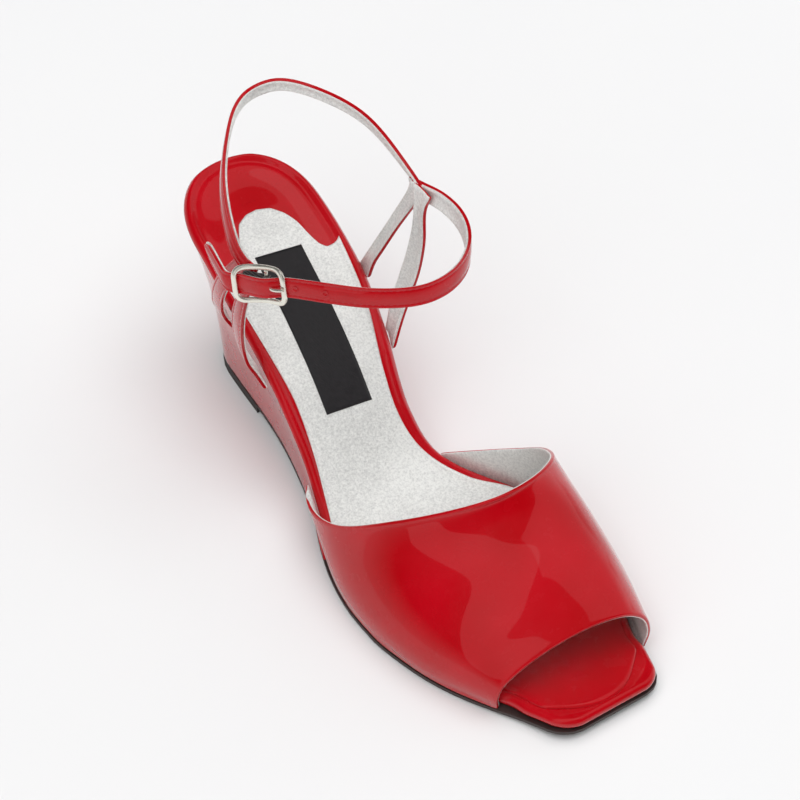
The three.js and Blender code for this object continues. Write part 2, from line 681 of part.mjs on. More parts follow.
// The elastic runs from the lateral junction under the strap and loops round the centre bar.
function makeElastic() {
  const { middle, rearward, outward, place } = buckleFrame();
  const low = bowAt(-centreBarAhead);
  const reach = centreBar / 2 + fitGap + elasticThickness / 2;
  const loop = spread(-90, -330, 10).map((degrees) => {
    const angle = THREE.MathUtils.degToRad(degrees);
    return [-centreBarAhead + reach * Math.cos(angle), low + reach * Math.sin(angle)];
  });
  const underside = low - reach;
  const end = graded(tabEnd).sub(middle);
  const tab = [end.dot(rearward), end.dot(outward)];
  const path = [tab, [mix(tab[0], 0.8, 0.45), mix(tab[1], underside, 0.6)], [0.8, underside], ...loop];
  const half = elasticWidth / 2;
  const rows = path.map(([a, c], i) => {
    const before = path[Math.max(i - 1, 0)];
    const after = path[Math.min(i + 1, path.length - 1)];
    const run = [after[0] - before[0], after[1] - before[1]];
    const length = Math.hypot(...run);
    const out = [(run[1] / length) * elasticThickness / 2, (-run[0] / length) * elasticThickness / 2];
    return [[a + out[0], c + out[1]], [a - out[0], c - out[1]]];
  });
  const rings = rows.map(([outer, inner]) => [
    place(outer[0], -half, outer[1]),
    place(outer[0], half, outer[1]),
    place(inner[0], half, inner[1]),
    place(inner[0], -half, inner[1]),
  ]);
  const slotHalf = prongWidth / 2 + fitGap;
  const slot = [-8, 1.2].map((a) => [[-1, -1], [1, -1], [1, 1], [-1, 1]].map(([u, v]) =>
    place(a, u * slotHalf, v * 8)));
  return geometryOf(solidOf(tube(rings, false)).subtract(solidOf(tube(slot, false))));
}

const red = { color: 0xb80a18, roughness: 0.08, metalness: 0 };
const materials = {
  outsole: { color: 0x2e2422, roughness: 0.7, metalness: 0 },
  heel_top_piece: { color: 0x2c2725, roughness: 0.75, metalness: 0 },
  wedge_heel: red,
  insole: red,
  vamp: red,
  strap_upper: red,
  buckle_frame: { color: 0xc9c6bd, roughness: 0.15, metalness: 1 },
  buckle_prong: { color: 0xc9c6bd, roughness: 0.2, metalness: 1 },
  elastic_tab: { color: 0x4a4646, roughness: 0.9, metalness: 0 },
};

const pieces = {
  outsole: makeOutsole(),
  heel_top_piece: makeTopPiece(),
  wedge_heel: makeWedge(),
  insole: makeInsole(),
  vamp: makeVamp(),
  strap_upper: makeStraps(),
  buckle_frame: makeBuckleFrame(),
  buckle_prong: makeProng(),
  elastic_tab: makeElastic(),
};

const shoe = new THREE.Group();
shoe.name = "strap_sandal";
for (const [name, geometry] of Object.entries(pieces)) {
  const mesh = new THREE.Mesh(geometry, new THREE.MeshStandardMaterial(materials[name]));
  mesh.name = name;
  shoe.add(mesh);
}

export default shoe;
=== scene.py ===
import math
import bmesh
import bpy
import numpy as np
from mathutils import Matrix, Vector
from mathutils.kdtree import KDTree


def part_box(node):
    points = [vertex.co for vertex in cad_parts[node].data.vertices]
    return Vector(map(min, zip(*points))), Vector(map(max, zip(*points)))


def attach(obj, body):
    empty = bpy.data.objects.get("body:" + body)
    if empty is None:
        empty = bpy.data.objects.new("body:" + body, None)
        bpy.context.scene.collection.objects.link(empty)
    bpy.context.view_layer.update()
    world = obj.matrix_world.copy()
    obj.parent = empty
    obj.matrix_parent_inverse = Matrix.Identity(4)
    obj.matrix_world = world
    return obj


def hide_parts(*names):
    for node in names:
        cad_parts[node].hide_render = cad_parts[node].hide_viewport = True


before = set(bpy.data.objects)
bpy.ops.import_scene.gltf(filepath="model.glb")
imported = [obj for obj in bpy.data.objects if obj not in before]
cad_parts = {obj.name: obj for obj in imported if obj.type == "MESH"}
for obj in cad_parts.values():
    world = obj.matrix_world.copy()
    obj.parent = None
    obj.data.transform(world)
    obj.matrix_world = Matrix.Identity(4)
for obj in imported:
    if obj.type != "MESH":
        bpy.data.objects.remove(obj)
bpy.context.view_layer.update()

print("frame loaded:", sorted(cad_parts))

mm = 0.001
# Places on the shoe: x towards the inner side, s forward from the heel seat's back, z up, all in mm.
topPiece = [np.array(corner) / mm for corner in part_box("heel_top_piece")]
sole = [np.array(corner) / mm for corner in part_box("outsole")]
originX, originS = 3.0, 36.0
soleEnd = originS - sole[0][1]  # the toe tip's station


def through(pairs):
    # A smooth curve through [position, value] pairs, flat where it turns.
    xs, ys = (np.array(column, float) for column in zip(*pairs))
    step = np.diff(xs)
    rise = np.diff(ys) / step
    slope = np.r_[rise[0], np.zeros(len(xs) - 2), rise[-1]]
    for i in range(1, len(xs) - 1):
        if rise[i] * rise[i - 1] > 0:
            slope[i] = (rise[i] * step[i - 1] + rise[i - 1] * step[i]) / (step[i] + step[i - 1])

    def value(x):
        x = np.asarray(x, float)
        i = np.clip(np.searchsorted(xs, x, side="right") - 1, 0, len(xs) - 2)
        t = np.clip((x - xs[i]) / step[i], 0, 1)
        blend = t * t * (3 - 2 * t)
        bend = step[i] * t * (1 - t) * (slope[i] * (1 - t) - slope[i + 1] * t)
        return ys[i] * (1 - blend) + ys[i + 1] * blend + bend
    return value


def smoothStep(x, start, end):
    t = np.clip((np.asarray(x, float) - start) / (end - start), 0, 1)
    return t * t * (3 - 2 * t)


def between(a, b, t):
    return a + (b - a) * t


def curveThrough(points, ts):
    # A centripetal Catmull-Rom curve, with ts from 0 to 1 over equal counts of points.
    p = np.array(points, float)
    p = np.vstack([2 * p[0] - p[1], p, 2 * p[-1] - p[-2]])
    u = np.clip(np.asarray(ts, float), 0, 1) * (len(p) - 3)
    i = np.minimum(u.astype(int), len(p) - 4)
    t = (u - i)[:, None]
    a, b, c, d = p[i], p[i + 1], p[i + 2], p[i + 3]
    gap = [np.sqrt(np.linalg.norm(q - o, axis=1))[:, None] for o, q in ((a, b), (b, c), (c, d))]
    gap = [np.maximum(g, 1e-4) for g in gap]
    m1 = ((b - a) / gap[0] - (c - a) / (gap[0] + gap[1]) + (c - b) / gap[1]) * gap[1]
    m2 = ((c - b) / gap[1] - (d - b) / (gap[1] + gap[2]) + (d - c) / gap[2]) * gap[1]
    return b + m1 * t + (3 * (c - b) - 2 * m1 - m2) * t ** 2 + (2 * (b - c) + m1 + m2) * t ** 3


bedProfile = through([
    [0, 72.5], [27, 65], [46, 59], [66, 51.5], [85, 41], [104, 26.5],
    [121, 14.5], [133, 9.9], [145, 7.9], [162, 7.1], [249, 7.1]])
bedLateral = through([
    [0, -23.4], [27, -24.7], [46, -26.5], [66, -27.7], [87, -28.8], [105, -30.3],
    [118, -33.2], [128, -36.2], [138, -39.2]])
bedMedial = through([
    [0, 28.8], [27, 28.8], [47, 27.8], [57, 26.7], [67, 25], [77, 22.8], [87, 20.3], [97, 17.6],
    [106, 16.2], [114, 16.4], [120, 18], [127, 22], [134, 27.2], [141, 33]])
groundLateral = through([
    [15, -19.5], [32, -18.6], [45, -19.6], [57, -20.5], [70, -21.8], [81, -23.4], [91, -25.5],
    [100, -27.7], [108, -30], [116, -33], [125, -37], [141, -42.5], [157, -45.3], [172, -45.4],
    [184, -43.5], [197, -40.1], [209, -35.3], [221, -29], [230, -23.8], [238, -19.8], [249, -15]])
groundMedial = through([
    [15, 25.5], [36, 25], [45, 23.4], [58, 21.5], [65, 19.8], [74, 17.8], [85, 16.4], [96, 15.9],
    [107, 16.3], [116, 18.3], [124, 22], [134, 29.5], [146, 38], [157, 43], [168, 45],
    [181, 45.2], [196, 43], [210, 38.3], [221, 33.6], [230, 30.6], [238, 28.2], [249, 25.2]])

shoe = dict(
    seatBack=-4, seatRound=30, seatMiddle=2, footStart=15.5, footMiddle=3, footRound=21,
    toeCorner=7, toeSpring=2.6, insoleThick=4.8, wall=1.8, gap=0.3, springStart=200, rimInset=1.4,
    roundPower=2.3, roundRoot=2.1, toeInset=0.8, vampLeaves=(225, 233), meetsGround=(124, 138))


def roundEnd(distance, radius):
    # The share of its full width that a sole has at a distance from its rounded end.
    short = np.clip(1 - np.asarray(distance, float) / radius, 0, 1)
    return (1 - short ** shoe["roundPower"]) ** (1 / shoe["roundRoot"])


def groundEdges(s):
    s = np.asarray(s, float)
    r = roundEnd(s - shoe["footStart"], shoe["footRound"])
    past = np.clip(s - (soleEnd - shoe["toeCorner"]), 0, shoe["toeCorner"])
    cut = shoe["toeCorner"] - np.sqrt(shoe["toeCorner"] ** 2 - past ** 2)
    middle = shoe["footMiddle"]
    return between(middle, groundLateral(s), r) + cut, between(middle, groundMedial(s), r) - cut


def bedEdges(s):
    s = np.asarray(s, float)
    r = roundEnd(s - shoe["seatBack"], shoe["seatRound"])
    bare = [between(shoe["seatMiddle"], edge(s), r) for edge in (bedLateral, bedMedial)]
    low, high = groundEdges(s)
    covered = 1 - smoothStep(s, *shoe["vampLeaves"])
    inset = between(shoe["toeInset"], shoe["wall"] + 2 * shoe["gap"], covered)
    forward = smoothStep(s, *shoe["meetsGround"])
    return between(bare[0], low + inset, forward), between(bare[1], high - inset, forward)


def spring(s):
    ahead = np.asarray(s, float) - shoe["springStart"]
    t = np.clip(ahead / (soleEnd - shoe["springStart"]), 0, None)
    return shoe["toeSpring"] * t * t


def bedTop(s):
    return bedProfile(s) + spring(s)


def place(points):
    # Shoe places in mm to the part's own frame in mm.
    p = np.array(points, float)
    return np.stack([p[..., 0] - originX, originS - p[..., 1], p[..., 2]], -1)


def feather(side, s):
    # Where the upper's outer face meets the sole: side 0 is lateral, 1 is medial.
    slant = (bedEdges(s + 1)[side] - bedEdges(s - 1)[side]) / 2
    out = (-1, 1)[side] * (shoe["gap"] + shoe["wall"]) * np.hypot(1, slant)
    return np.array([bedEdges(s)[side] + out, s, bedTop(s) - shoe["insoleThick"]], float)


class Flow:
    # One value on its way through a material.
    def __init__(self, finish, socket):
        self.finish, self.socket = finish, socket

    def worked(self, operation, a, b):
        return self.finish.node("ShaderNodeMath", {"operation": operation}, {0: a, 1: b})

    def __add__(self, other): return self.worked("ADD", self, other)
    def __radd__(self, other): return self.worked("ADD", other, self)
    def __sub__(self, other): return self.worked("SUBTRACT", self, other)
    def __rsub__(self, other): return self.worked("SUBTRACT", other, self)
    def __mul__(self, other): return self.worked("MULTIPLY", self, other)
    def __rmul__(self, other): return self.worked("MULTIPLY", other, self)


class Finish:
    # A material under construction round one Principled shader.
    def __init__(self, name, fixed=None):
        self.material = bpy.data.materials.new(name)
        self.material.use_nodes = True
        self.tree = self.material.node_tree
        self.shader = self.tree.nodes["Principled BSDF"]
        self.paint(fixed or {})

    def node(self, kind, settings=None, sockets=None, output=0):
        made = self.tree.nodes.new(kind)
        for key, value in (settings or {}).items():
            setattr(made, key, value)
        self.plug(made, sockets or {})
        return Flow(self, made.outputs[output])

    def plug(self, made, sockets):
        for key, value in sockets.items():
            if isinstance(value, Flow):
                self.tree.links.new(value.socket, made.inputs[key])
            else:
                made.inputs[key].default_value = value

    def paint(self, sockets):
        self.plug(self.shader, sockets)
        return self

    def where(self, scale=(1, 1, 1)):
        here = self.node("ShaderNodeTexCoord", output="Object")
        return self.node("ShaderNodeMapping", sockets={"Vector": here, "Scale": scale})

    def noise(self, scale, detail=2.0, rough=0.5, stretch=(1, 1, 1)):
        return self.node("ShaderNodeTexNoise", sockets={
            "Vector": self.where(stretch), "Scale": scale, "Detail": detail, "Roughness": rough})

    def ribs(self, direction, scale, wander=0.0):
        return self.node("ShaderNodeTexWave", {"bands_direction": direction}, {
            "Vector": self.where(), "Scale": scale, "Distortion": wander})

    def mixed(self, factor, a, b):
        return self.node("ShaderNodeMix", {"data_type": "RGBA"}, {0: factor, 6: a, 7: b}, output=2)

    def span(self, value, low, high, outLow, outHigh):
        return self.node("ShaderNodeMapRange", {"clamp": True}, {
            "Value": value, "From Min": low, "From Max": high, "To Min": outLow, "To Max": outHigh})

    def bump(self, height, distance, strength=1.0, under=None):
        sockets = {"Height": height, "Distance": distance, "Strength": strength}
        if under is not None:
            sockets["Normal"] = under
        return self.node("ShaderNodeBump", {}, sockets)


def rgb(r, g, b):
    # A screen colour from 0 to 255 as linear light.
    linear = [(c / 255 / 12.92) if c <= 10 else ((c / 255 + 0.055) / 1.055) ** 2.4 for c in (r, g, b)]
    return (*linear, 1.0)


def paler(colour, by):
    return rgb(*[min(255, c + by) for c in colour])


patent = dict(deep=rgb(166, 0, 10), bright=rgb(180, 2, 20), orangePeel=0.00002, waves=0.00022,
              specular=0.1, coatRough=0.025, coatIor=1.42)


def patentLeather(name, waves=1.0):
    f = Finish(name, {
        "Specular IOR Level": patent["specular"], "Coat Weight": 1.0,
        "Coat Roughness": patent["coatRough"], "Coat IOR": patent["coatIor"]})
    cloud = f.noise(28, 3)
    pores = f.noise(1500, 2)
    soft = f.noise(62, 2, 0.4)
    broad = f.noise(24, 1, 0.4)
    first = f.bump(soft * 0.35 + broad * 0.65, patent["waves"] * waves, 0.6)
    return f.paint({
        "Base Color": f.mixed(f.span(cloud, 0.35, 0.68, 0, 1), patent["deep"], patent["bright"]),
        "Roughness": f.span(f.noise(180, 3), 0.3, 0.7, 0.2, 0.3),
        "Normal": f.bump(pores, patent["orangePeel"], 0.5, first)}).material


silver = dict(light=rgb(240, 240, 237), shade=rgb(204, 204, 202), grain=0.0002, metal=0.3)


def silverLeather(name):
    f = Finish(name, {"Metallic": silver["metal"]})
    grain = f.noise(1500, 4, 0.65)
    flakes = f.noise(1000, 3, 0.6)
    blotch = f.noise(40, 3)
    tone = blotch * 0.2 + flakes * 0.4 + grain * 0.4
    return f.paint({
        "Base Color": f.mixed(f.span(tone, 0.38, 0.58, 0, 1), silver["shade"], silver["light"]),
        "Roughness": f.span(flakes, 0.35, 0.65, 0.28, 0.5),
        "Normal": f.bump(grain * 0.5 + flakes * 0.5, silver["grain"], 0.8)}).material


rubber = dict(sole=(50, 40, 38), topPiece=(42, 38, 36), scuffed=14, grain=0.0001)


def darkRubber(name, colour, rough):
    f = Finish(name)
    grain = f.noise(900, 3)
    scuff = f.noise(90, 4, 0.6)
    return f.paint({
        "Base Color": f.mixed(f.span(scuff, 0.4, 0.7, 0, 1), rgb(*colour), paler(colour, rubber["scuffed"])),
        "Roughness": f.span(scuff, 0.3, 0.7, rough, rough + 0.2),
        "Normal": f.bump(grain, rubber["grain"], 0.4)}).material


ribbon = dict(dark=rgb(24, 22, 24), light=rgb(40, 38, 40), weave=0.0001)


def blackLabel(name):
    f = Finish(name)
    weft = f.ribs("Y", 700.0, 0.6)
    cloth = f.noise(700, 2)
    return f.paint({
        "Base Color": f.mixed(cloth, ribbon["dark"], ribbon["light"]),
        "Roughness": f.span(cloth, 0.3, 0.7, 0.36, 0.52),
        "Normal": f.bump(weft * 0.6 + cloth * 0.4, ribbon["weave"], 0.5)}).material


plating = dict(dark=rgb(222, 219, 206), light=rgb(242, 240, 230), metal=0.85, scratches=0.00002)


def plateNickel(name):
    f = Finish(name, {"Metallic": plating["metal"]})
    scratch = f.noise(500, 4, 0.7, (1, 6, 1))
    return f.paint({
        "Base Color": f.mixed(f.noise(120), plating["dark"], plating["light"]),
        "Roughness": f.span(scratch, 0.3, 0.7, 0.14, 0.26),
        "Normal": f.bump(scratch, plating["scratches"], 0.2)}).material


webbing = dict(dark=rgb(44, 40, 41), light=rgb(92, 87, 87), ribHigh=0.0004)


def ribbedElastic(name):
    f = Finish(name)
    ribs = f.ribs("Z", 330.0)
    fuzz = f.noise(1600, 3)
    return f.paint({
        "Base Color": f.mixed(ribs, webbing["dark"], webbing["light"]),
        "Roughness": f.span(fuzz, 0.3, 0.7, 0.75, 0.95),
        "Normal": f.bump(ribs * 0.8 + fuzz * 0.2, webbing["ribHigh"], 0.8)}).material


def thread(name, colour):
    f = Finish(name)
    twist = f.noise(2600, 2)
    return f.paint({
        "Base Color": f.mixed(twist, rgb(*colour), paler(colour, 24)),
        "Roughness": f.span(twist, 0.3, 0.7, 0.4, 0.65),
        "Normal": f.bump(twist, 0.0001, 0.6)}).material


red = patentLeather("red_patent")
redStrap = patentLeather("red_patent_strap", 0.5)
lining = silverLeather("silver_lining")
soleRubber = darkRubber("outsole_rubber", rubber["sole"], 0.5)
topPieceRubber = darkRubber("top_piece_rubber", rubber["topPiece"], 0.6)
labelCloth = blackLabel("label_cloth")
nickel = plateNickel("nickel")
elasticWeave = ribbedElastic("elastic_weave")
redThread = thread("red_thread", (150, 4, 18))
print("materials made")


def onShoe(name, data, materials, replaced):
    # Puts a finished mesh on the shoe, smooth shaded.
    for material in materials:
        data.materials.append(material)
    data.polygons.foreach_set("use_smooth", np.ones(len(data.polygons), bool))
    piece = bpy.data.objects.new(name, data)
    bpy.context.scene.collection.objects.link(piece)
    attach(piece, "root")
    if replaced:
        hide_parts(*replaced)
    return piece


def rounded(piece, levels, onLimit=False):
    rounding = piece.modifiers.new("rounding", "SUBSURF")
    rounding.levels = rounding.render_levels = levels
    rounding.use_limit_surface = onLimit


def newPiece(name, points, faces, materials, kinds=None, levels=0, replaced=()):
    # Points are in mm, and kinds says which of the materials each face has.
    data = bpy.data.meshes.new(name)
    data.from_pydata([tuple(p) for p in np.asarray(points) * mm], [], [tuple(map(int, f)) for f in faces])
    data.validate()
    piece = onShoe(name, data, materials, replaced)
    if kinds is not None:
        data.polygons.foreach_set("material_index", np.array(kinds, np.int32))
    if levels:
        rounded(piece, levels)
    return piece


def gridFaces(rows, columns, start=0, wrap=False, flip=False):
    across = columns if wrap else columns - 1
    i, j = np.meshgrid(np.arange(rows - 1), np.arange(across), indexing="ij")
    k = (j + 1) % columns
    quads = np.stack([i * columns + j, (i + 1) * columns + j, (i + 1) * columns + k, i * columns + k], -1)
    quads = quads.reshape(-1, 4) + start
    return quads[:, ::-1] if flip else quads


def normalsOf(grid, levelEnds=None):
    # The way out at each place of a grid, made level at the ends that stand in a seam.
    along = np.gradient(grid, axis=0)
    across = np.gradient(grid, axis=1)
    normal = np.cross(along, across)
    if levelEnds == "columns":
        normal[:, [0, -1], 2] = 0
    if levelEnds == "last row":
        normal[-1, :, 2] = 0
    return normal / np.maximum(np.linalg.norm(normal, axis=2, keepdims=True), 1e-9)


edgeMiddle = 0.72  # how far down a sheet's cut edge its paint ends, as a share of the thickness


def leather(name, grid, thick, materials, levels=2, levelEnds=None, replaced=()):
    # A sheet of leather from a grid on its outer face: materials are outer face, lining and cut edge.
    rows, columns = grid.shape[:2]
    out = normalsOf(grid, levelEnds)
    painted, inner = grid - out * thick * edgeMiddle, grid - out * thick
    count = rows * columns
    index = np.arange(count).reshape(rows, columns)
    rim = np.concatenate([index[0], index[1:, -1], index[-1, :-1][::-1], index[1:-1, 0][::-1]])
    points = np.vstack([grid.reshape(-1, 3), painted.reshape(-1, 3)[rim], inner.reshape(-1, 3)])
    middle = count + np.arange(len(rim))
    start = count + len(rim)
    after, middleAfter = np.roll(rim, -1), np.roll(middle, -1)
    parts = [gridFaces(rows, columns), gridFaces(rows, columns, start, flip=True),
             np.stack([rim, after, middleAfter, middle], -1),
             np.stack([middle, middleAfter, after + start, rim + start], -1)]
    kinds = np.repeat([0, 1, 2, 1], [len(part) for part in parts])
    if levelEnds == "columns":  # the ends that meet the sole are turned under
        along = np.arange(len(rim))
        right = (along >= columns - 1) & (along < columns + rows - 2)
        left = along >= 2 * columns + rows - 3
        kinds[-len(rim):][right | left] = 2
    return newPiece(name, points, np.vstack(parts), materials, kinds, levels, replaced)


def plate(name, rings, fills, material, replaced):
    # A closed body from stacked rings, closed by a grid of rows at the bottom and at the top.
    count = len(rings[0])
    points = [np.vstack(rings)]
    faces = [gridFaces(len(rings), count, wrap=True, flip=True)]
    start = count * len(rings)
    for rows, flip in zip(fills, (True, False)):
        points.append(rows.reshape(-1, 3))
        faces.append(gridFaces(rows.shape[0], rows.shape[1], start, flip=flip))
        start += rows.shape[0] * rows.shape[1]
    weld(newPiece(name, np.vstack(points), np.vstack(faces), [material], replaced=replaced))


def weld(piece, closer=1e-5, shorter=1e-7):
    work = bmesh.new()
    work.from_mesh(piece.data)
    bmesh.ops.remove_doubles(work, verts=work.verts, dist=closer)
    bmesh.ops.dissolve_degenerate(work, edges=work.edges, dist=shorter)
    bmesh.ops.recalc_face_normals(work, faces=work.faces)
    work.to_mesh(piece.data)
    work.free()


def stationsFor(start, end, step, backRound, frontRound):
    # Stations along a sole, closer together where its ends are round.
    quarter = math.pi / 2
    back = start + backRound * (1 - np.cos(np.linspace(0, quarter, 22)))
    front = end - frontRound * (1 - np.sin(np.linspace(0, quarter, 12))) if frontRound else [end]
    first, last = back[-1], front[0]
    middle = np.linspace(first, last, max(2, int((last - first) / step) + 1))
    return np.concatenate([back, middle[1:-1], front])


def outlineOf(edges, stations, across):
    # A sole's outline in plan: forward along the outer edge from the heel's tip, and back along the inner.
    low, high = edges(stations)
    front = np.linspace(low[-1], high[-1], across + 1)[1:-1]
    return np.vstack([
        np.stack([low, stations], -1),
        np.stack([front, np.full(len(front), stations[-1])], -1),
        np.stack([high, stations], -1)[:0:-1]])


def insetOutline(outline, distance):
    run = np.roll(outline, -1, axis=0) - np.roll(outline, 1, axis=0)
    run /= np.linalg.norm(run, axis=1, keepdims=True)
    return outline + distance * np.stack([run[:, 1], -run[:, 0]], -1)


def fillRows(ring, count, ts):
    # Rows that join an outline's outer points to its inner ones, one for each station.
    rows = [between(ring[i], ring[-i], ts[:, None]) for i in range(count - 1)]
    return np.array(rows + [ring[count - 1:count - 1 + len(ts)]])


def raised(plan, height):
    return place(np.concatenate([plan, height(plan[..., 0], plan[..., 1])[..., None]], -1))


# The outsole and the top piece keep their own solids.
for node, material in (("outsole", soleRubber), ("heel_top_piece", topPieceRubber)):
    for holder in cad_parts[node].material_slots:
        holder.link = "OBJECT"
        holder.material = material

# The insole is a padded board with a rolled red rim.
insole = dict(
    across=48, step=2.2, traced=0.2, rimHigh=0.75, rimWide=2.6, rimAt=2.2, rimSunk=0.4, rimFades=(222, 234),
    groove=0.4, grooveAt=4.6, grooveWide=0.8, dish=1.1, dishEnds=(45, 85), crown=1.0, crownRises=(70, 100),
    padFlat=(118, 150), padEdge=(3.5, 15), edgeRound=0.999)


def farAlong(line):
    # The distance run along a line at each of its points.
    return np.r_[0, np.cumsum(np.linalg.norm(np.diff(line, axis=0), axis=1))]


bedStations = stationsFor(shoe["seatBack"], soleEnd, insole["step"], shoe["seatRound"], shoe["toeCorner"])
bedOutline = outlineOf(bedEdges, bedStations, insole["across"])


def rimTree():
    # The footbed's outline in closely spaced points, to measure how far inside it a place lies.
    ring = np.vstack([bedOutline, bedOutline[:1]])
    far = farAlong(ring)
    even = np.arange(0, far[-1], insole["traced"])
    tree = KDTree(len(even))
    for i, (x, s) in enumerate(zip(*(np.interp(even, far, ring[:, k]) for k in (0, 1)))):
        tree.insert((x, s, 0), i)
    tree.balance()
    return tree


bedRim = rimTree()


def bedShape(x, s):
    # The footbed's surface: hollowed at the heel and crowned at the waist, with a rolled rim.
    x, s = np.broadcast_arrays(np.asarray(x, float), np.asarray(s, float))
    inside = [bedRim.find((a, b, 0))[2] for a, b in zip(x.ravel(), s.ravel())]
    inside = np.reshape(inside, x.shape)
    pad = -insole["dish"] * (1 - smoothStep(s, *insole["dishEnds"]))
    pad = pad + insole["crown"] * smoothStep(s, *insole["crownRises"])
    pad = pad * (1 - smoothStep(s, *insole["padFlat"])) * smoothStep(inside, *insole["padEdge"])
    rim = insole["rimHigh"] * np.exp(-((inside - insole["rimAt"]) / (insole["rimWide"] / 2)) ** 2)
    rim = rim - insole["groove"] * np.exp(-((inside - insole["grooveAt"]) / insole["grooveWide"]) ** 2)
    rim = rim * (1 - smoothStep(s, *insole["rimFades"]))
    return bedTop(s) + pad + rim - insole["rimHigh"] * insole["rimSunk"]


def makeInsole():
    half = shoe["insoleThick"] / 2
    rings, plans = [], []
    for angle in np.radians(np.linspace(-90, 90, 13)):  # round the edge, from underneath to the top
        ring = insetOutline(bedOutline, half * min(1 - math.cos(angle), insole["edgeRound"]))
        plans.append(ring)
        lift = half * (math.sin(angle) - 1)
        follows = max(0, math.sin(angle))  # how much of the pad's shape the edge has here

        def height(x, s, lift=lift, follows=follows):
            return bedTop(s) + lift + (bedShape(x, s) - bedTop(s)) * follows
        rings.append(raised(ring, height))
    even = np.linspace(0, 1, insole["across"] + 1)
    closer = (even + 0.5 - 0.5 * np.cos(math.pi * even)) / 2  # closer together near the rim
    bottom = raised(fillRows(plans[0], len(bedStations), even), lambda x, s: bedTop(s) - 2 * half)
    top = raised(fillRows(plans[-1], len(bedStations), closer), bedShape)
    plate("insole_red", rings, (bottom, top), red, ("insole",))


makeInsole()

# The silver sock lining is a rounded tongue between two red scallops at the heel.
sock = dict(proud=0.45, thick=0.7, toe=214, columns=110, rows=190, spread=1.15, edgeDrop=0.7)
sockLateral = through([
    [20, -21], [46, -24.2], [66, -24], [86, -23.6], [104, -25.8], [122, -31], [140, -37.6],
    [160, -41], [200, -37], [214, -31]])
sockMedial = through([
    [20, 26.5], [31, 26.2], [54, 23.4], [74, 19.2], [92, 13.2], [107, 10.6], [120, 13.7],
    [134, 22.4], [148, 34.5], [162, 40.5], [200, 38], [214, 33]])
# The heel end of the silver from the lateral rim to the medial one, as [share across, station].
sockHeel = [[0, 46], [0.06, 46.5], [0.12, 46.5], [0.18, 44], [0.235, 38], [0.27, 30], [0.33, 24],
            [0.42, 21.6], [0.52, 21.3], [0.63, 23], [0.71, 27], [0.765, 32], [0.79, 37.5],
            [0.83, 43.5], [0.88, 46.3], [0.94, 46.5], [1, 45]]


def makeSock():
    columns, rows = sock["columns"], sock["rows"]
    u = np.linspace(0, 1, columns)
    heelEnd = np.interp(u, *zip(*sockHeel))
    for _ in range(2):
        heelEnd[1:-1] = (heelEnd[:-2] + 2 * heelEnd[1:-1] + heelEnd[2:]) / 4
    v = np.linspace(0, 1, rows) ** sock["spread"]
    s = heelEnd[None, :] + (sock["toe"] - heelEnd[None, :]) * v[:, None]
    x = between(sockLateral(s), sockMedial(s), u[None, :])
    plan = np.stack([x, s], -1)
    grid = raised(plan, lambda x, s: bedShape(x, s) + sock["proud"])
    edge = np.ones((rows, columns), bool)
    edge[1:-1, 1:-1] = False
    grid[edge, 2] -= sock["proud"] * sock["edgeDrop"]
    leather("sock_lining", grid, sock["thick"], [lining] * 3, 0)


makeSock()

# The front of the sock is red, and ends in a rounded edge inside the flat toe rim.
toePad = dict(back=205, front=245, curve=11, curvePower=2.6, lean=0.06, inset=3.4, proud=1.0, thick=0.9,
              edgeDrop=0.8, columns=44, rows=26)


def makeToePad():
    u = np.linspace(-1, 1, toePad["columns"])
    frontEnd = toePad["front"] - toePad["curve"] * np.abs(u + toePad["lean"]) ** toePad["curvePower"]
    v = np.linspace(0, 1, toePad["rows"])
    s = toePad["back"] + (frontEnd[None, :] - toePad["back"]) * v[:, None]
    low, high = bedEdges(s)
    x = between(low + toePad["inset"], high - toePad["inset"], (u[None, :] + 1) / 2)
    grid = raised(np.stack([x, s], -1), lambda x, s: bedShape(x, s) + toePad["proud"])
    grid[-1, :, 2] -= toePad["proud"] * toePad["edgeDrop"]
    grid[:, [0, -1], 2] -= toePad["proud"] * toePad["edgeDrop"]
    leather("toe_pad", grid, toePad["thick"], [red] * 3, levels=1)


makeToePad()

# A plain dark woven label is glued on the sock. Its corners are [x, s], round from the heel end.
labelPatch = dict(corners=[[-8, 38.8], [10.5, 41.4], [3.3, 99.4], [-15.2, 97.8]], proud=0.28, thick=0.35)


def makeLabel():
    corners = np.array(labelPatch["corners"], float)
    u, v = np.linspace(0, 1, 16), np.linspace(0, 1, 50)
    heelEnd = between(corners[0], corners[1], u[:, None])
    toeEnd = between(corners[3], corners[2], u[:, None])
    plan = between(heelEnd[None], toeEnd[None], v[:, None, None])
    grid = raised(plan, lambda x, s: bedShape(x, s) + sock["proud"] + labelPatch["proud"])
    leather("label_patch", grid, labelPatch["thick"], [labelCloth] * 3, 0)


makeLabel()
print("insole, sock, toe pad and label made")

wedge = dict(
    across=16, front=133, step=2.2, footPull=26, levels=(0.012, 0.1, 0.25, 0.4, 0.55, 0.7, 0.85, 0.975),
    flare=1.25, waist=0.5, aboveSole=2, arch=3, archEnds=(56.5, 130), topPieceFront=56.8)


